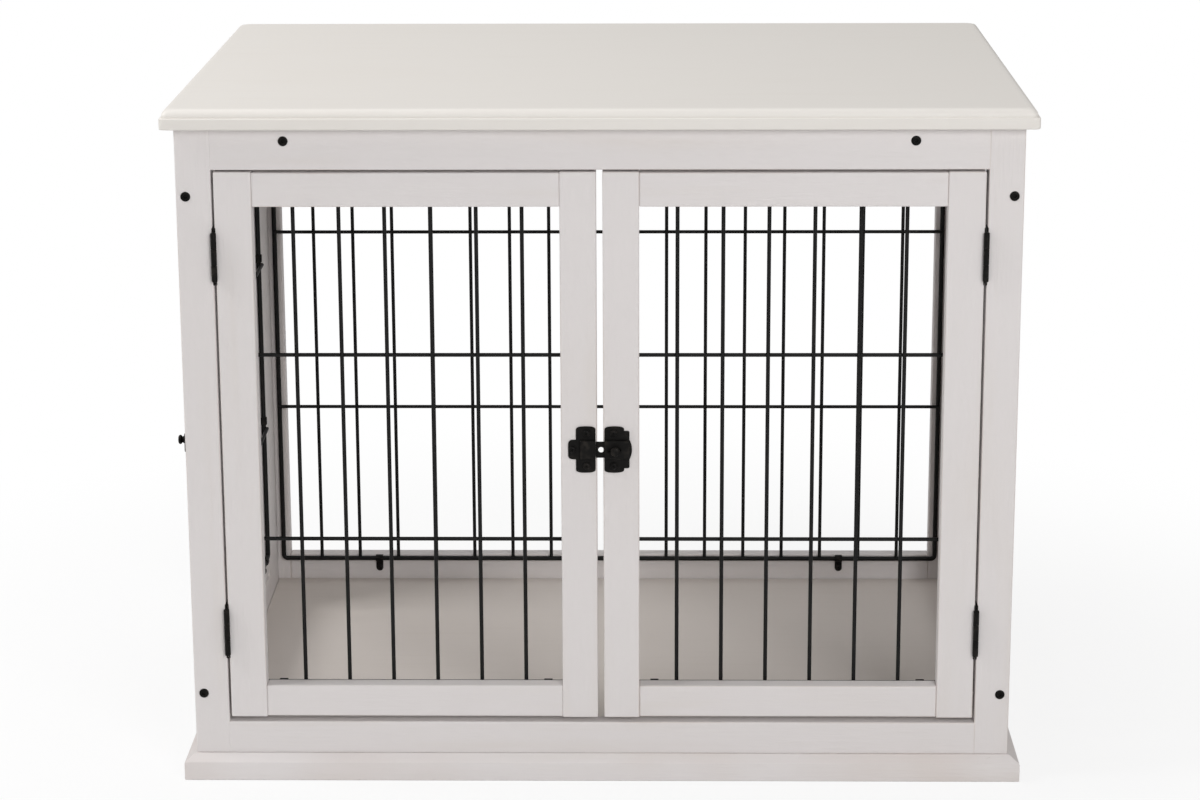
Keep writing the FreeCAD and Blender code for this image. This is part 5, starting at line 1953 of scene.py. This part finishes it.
@dataclass
class Studio:
    """The camera of the photograph, a pale floor and soft lamps."""

    position: Spot = (0.0497, -3.1453, 1.1315)
    pitch: float = 0.2567
    yaw: float = 0.0173
    roll: float = -0.0040
    focal_px: float = 3149.5
    photo_width: float = 1200.0
    sensor: float = 36.0
    floor_colour: Colour = (0.88, 0.88, 0.88)
    floor_dim: float = 0.985
    floor_reach: float = 12.0
    shadow_start: float = 0.45
    shadow_reach: float = 1.1
    shadow_fade: float = 0.17
    white: Colour = (1.0, 1.0, 1.0)
    tint: Colour = (1.0, 0.99, 0.975)
    ambient: float = 0.33
    lamps: tuple[Lamp, ...] = (
        Lamp("key", (1.4, -3.3, 1.9), (0.0, 0.0, 0.35), 1.4, 54.0),
        Lamp("side", (-2.4, -0.4, 2.3), (-0.1, 0.0, 0.2), 1.2, 46.0),
        Lamp("over", (-0.3, 0.8, 3.0), (0.0, 0.0, 0.4), 2.4, 19.0),
    )

    def build(self) -> None:
        """Sets the view, the floor, the world and the lamps."""
        scene = bpy.context.scene
        scene.view_settings.view_transform = "Standard"
        self._camera()
        self._floor()
        self._world()
        for lamp in self.lamps:
            lamp.shine()

    def _camera(self) -> None:
        """The camera that was fitted to the photograph."""
        cp, sp = math.cos(self.pitch), math.sin(self.pitch)
        cy, sy = math.cos(self.yaw), math.sin(self.yaw)
        forward = Vector((-sy * cp, cy * cp, -sp))
        right = Vector((cy, sy, 0.0))
        up = Vector((-sy * sp, cy * sp, cp))
        cr, sr = math.cos(self.roll), math.sin(self.roll)
        x_axis = right * cr + up * sr
        data = bpy.data.cameras.new("photo_camera")
        data.sensor_width = self.sensor
        data.lens = self.focal_px / self.photo_width * self.sensor
        camera = bpy.data.objects.new("photo_camera", data)
        camera.matrix_world = pose(self.position, x_axis, -forward)
        bpy.context.scene.collection.objects.link(camera)
        bpy.context.scene.camera = camera

    def _floor(self) -> None:
        """A wide pale floor that fades to white and keeps the object's shadow."""
        reach = self.floor_reach
        solid = Solid(
            [Vector((x * reach, y * reach, 0.0)) for x, y in ((-1, -1), (1, -1), (1, 1), (-1, 1))],
            [(0, 1, 2, 3)],
        )
        graph = Graph("studio_floor")
        dim = tuple(value * self.floor_dim for value in self.floor_colour)
        colour = graph.mix(graph.noise(Cloud(1.5, 2.0)), self.floor_colour, dim)
        material = graph.finish(Base_Color=colour, Roughness=0.9)
        away = graph.node(
            "ShaderNodeVectorMath", {"operation": "LENGTH"}, {0: graph.place()}, "Value"
        )
        seen = graph.node("ShaderNodeLightPath", output="Is Camera Ray")
        white = graph.node("ShaderNodeEmission", {}, {"Color": self.white, "Strength": 1.0})
        faded = away.between(self.shadow_start, self.shadow_reach) * self.shadow_fade
        graph.overlay(seen * (faded + (1.0 - self.shadow_fade)), white)
        solid.build("studio_floor", material)

    def _world(self) -> None:
        """An even surround, white where the camera sees it."""
        graph = Graph("studio_world", bpy.data.worlds.new("studio"))
        bpy.context.scene.world = graph.owner
        around = graph.node(
            "ShaderNodeBackground", {}, {"Color": self.tint, "Strength": self.ambient}
        )
        white = graph.node("ShaderNodeBackground", {}, {"Color": self.white, "Strength": 1.0})
        graph.surface(around)
        graph.overlay(graph.node("ShaderNodeLightPath", output="Is Camera Ray"), white)


# ---------------------------------------------------------------- the whole crate


@dataclass
class Crate:
    """The crate end table with all its pieces."""

    shop: Workshop
    door_levels: tuple[float, float] = (0.2345, 0.4165)
    wall_levels: tuple[float, float] = (0.2315, 0.4305)
    clip_levels: tuple[float, float] = (0.2435, 0.4235)

    def build(self) -> None:
        """Builds every sub-assembly."""
        screws = Screws(self.shop)
        Timberwork(self.shop, screws.bore(), screws.bolt_poses()).build()
        Top(self.shop).build()
        Plinth(self.shop).build()
        FloorBoard(self.shop).build()
        clips = self._panels()
        hinges = self._hinges()
        latches = self._latches()
        self._screws(screws, clips, hinges, latches)
        for node in ("barrel_nuts", "wood_screws"):
            self.shop.coat(node, ZincPlate())

    def _panels(self) -> dict[str, list[Clips]]:
        """The five wire panels and their clips, by the node that holds the clips.

        Returns:
            The clips by owner, a door or the frame.
        """
        across, along = Vector((1, 0, 0)), Vector((0, 1, 0))
        table = (
            ("left_door_wire_panel", "left_door", across, along, 6, self.door_levels, 1,
             self.clip_levels),
            ("right_door_wire_panel", "right_door", across, along, 6, self.door_levels, 1,
             self.clip_levels),
            ("side_door_wire_panel", "side_door", along, across, 7, self.door_levels, 1,
             self.clip_levels),
            ("rear_wire_panel", "crate", across, -along, 16, self.wall_levels, 3, ()),
            ("right_wire_panel", "crate", along, -across, 9, self.wall_levels, 2,
             self.clip_levels),
        )
        clips: dict[str, list[Clips]] = {}
        for node, body, run, inwards, uprights, levels, rail_gap, clip_levels in table:
            panel = WirePanel(self.shop, node, body, run, inwards, uprights, levels)
            panel.build()
            owner = "frame" if body == "crate" else body
            clips.setdefault(owner, []).append(Clips(panel, rail_gap, clip_levels))
        for owner, sets in clips.items():
            clip = sets[0].solid()
            solid = Solid.gathered(clip.moved(place) for item in sets for place in item.poses())
            body = "crate" if owner == "frame" else owner
            self.shop.blacked(solid, f"{owner}_wire_clips", body)
        return clips

    def _hinges(self) -> dict[str, DoorHinges]:
        """The hinges of the three doors.

        Returns:
            The hinges by door.
        """
        hinges = {
            door: DoorHinges(self.shop, door, door == "right_door")
            for door in ("left_door", "right_door", "side_door")
        }
        for door, pair in hinges.items():
            self.shop.blacked(pair.leaves(True), f"{door}_hinge_leaves", door)
        fixed = Solid.gathered(pair.leaves(False) for pair in hinges.values())
        self.shop.blacked(fixed, "frame_hinge_leaves", "crate")
        pins = Solid.gathered(pair.pins() for pair in hinges.values())
        self.shop.blacked(pins, "hinge_pins", "crate")
        return hinges

    def _latches(self) -> tuple[Latch, Latch]:
        """The front latch and the side latch.

        Returns:
            Both, in that order.
        """
        front = Latch(self.shop, "latch_keeper", "latch_housing", "latch_bolt",
                      "left_door", "right_door", "front_latch_bolt")
        side = Latch(self.shop, "side_latch_keeper", "side_latch_housing", "side_latch_bolt",
                     "side_door", "crate", "side_latch_bolt")
        front.build()
        side.build()
        return front, side

    def _screws(
        self,
        screws: Screws,
        clips: dict[str, list[Clips]],
        hinges: dict[str, DoorHinges],
        latches: tuple[Latch, Latch],
    ) -> None:
        """The screws of each body, and the frame bolts.

        Args:
            screws: The maker of the screws.
            clips: The clips by owner.
            hinges: The hinges by door.
            latches: The front and the side latch.
        """
        front, side = latches
        plates = {
            "left_door": front.screw_poses(True), "right_door": front.screw_poses(False),
            "side_door": side.screw_poses(True), "frame": side.screw_poses(False),
        }
        for owner, plate in plates.items():
            pans = [place for item in clips[owner] for place in item.screw_poses()] + plate
            if owner == "frame":
                flats = [p for pair in hinges.values() for p in pair.screw_poses(False)]
            else:
                flats = hinges[owner].screw_poses(True)
            body = "crate" if owner == "frame" else owner
            screws.put(f"{owner}_screws", body, pans, flats)
        screws.put_bolts()


def main() -> None:
    """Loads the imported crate, dresses it and sets up the studio."""
    logging.basicConfig(level=logging.INFO, format="%(name)s: %(message)s")
    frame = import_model()
    Crate(Workshop(frame)).build()
    Studio().build()
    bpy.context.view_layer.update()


if __name__ == "__main__":
    main()
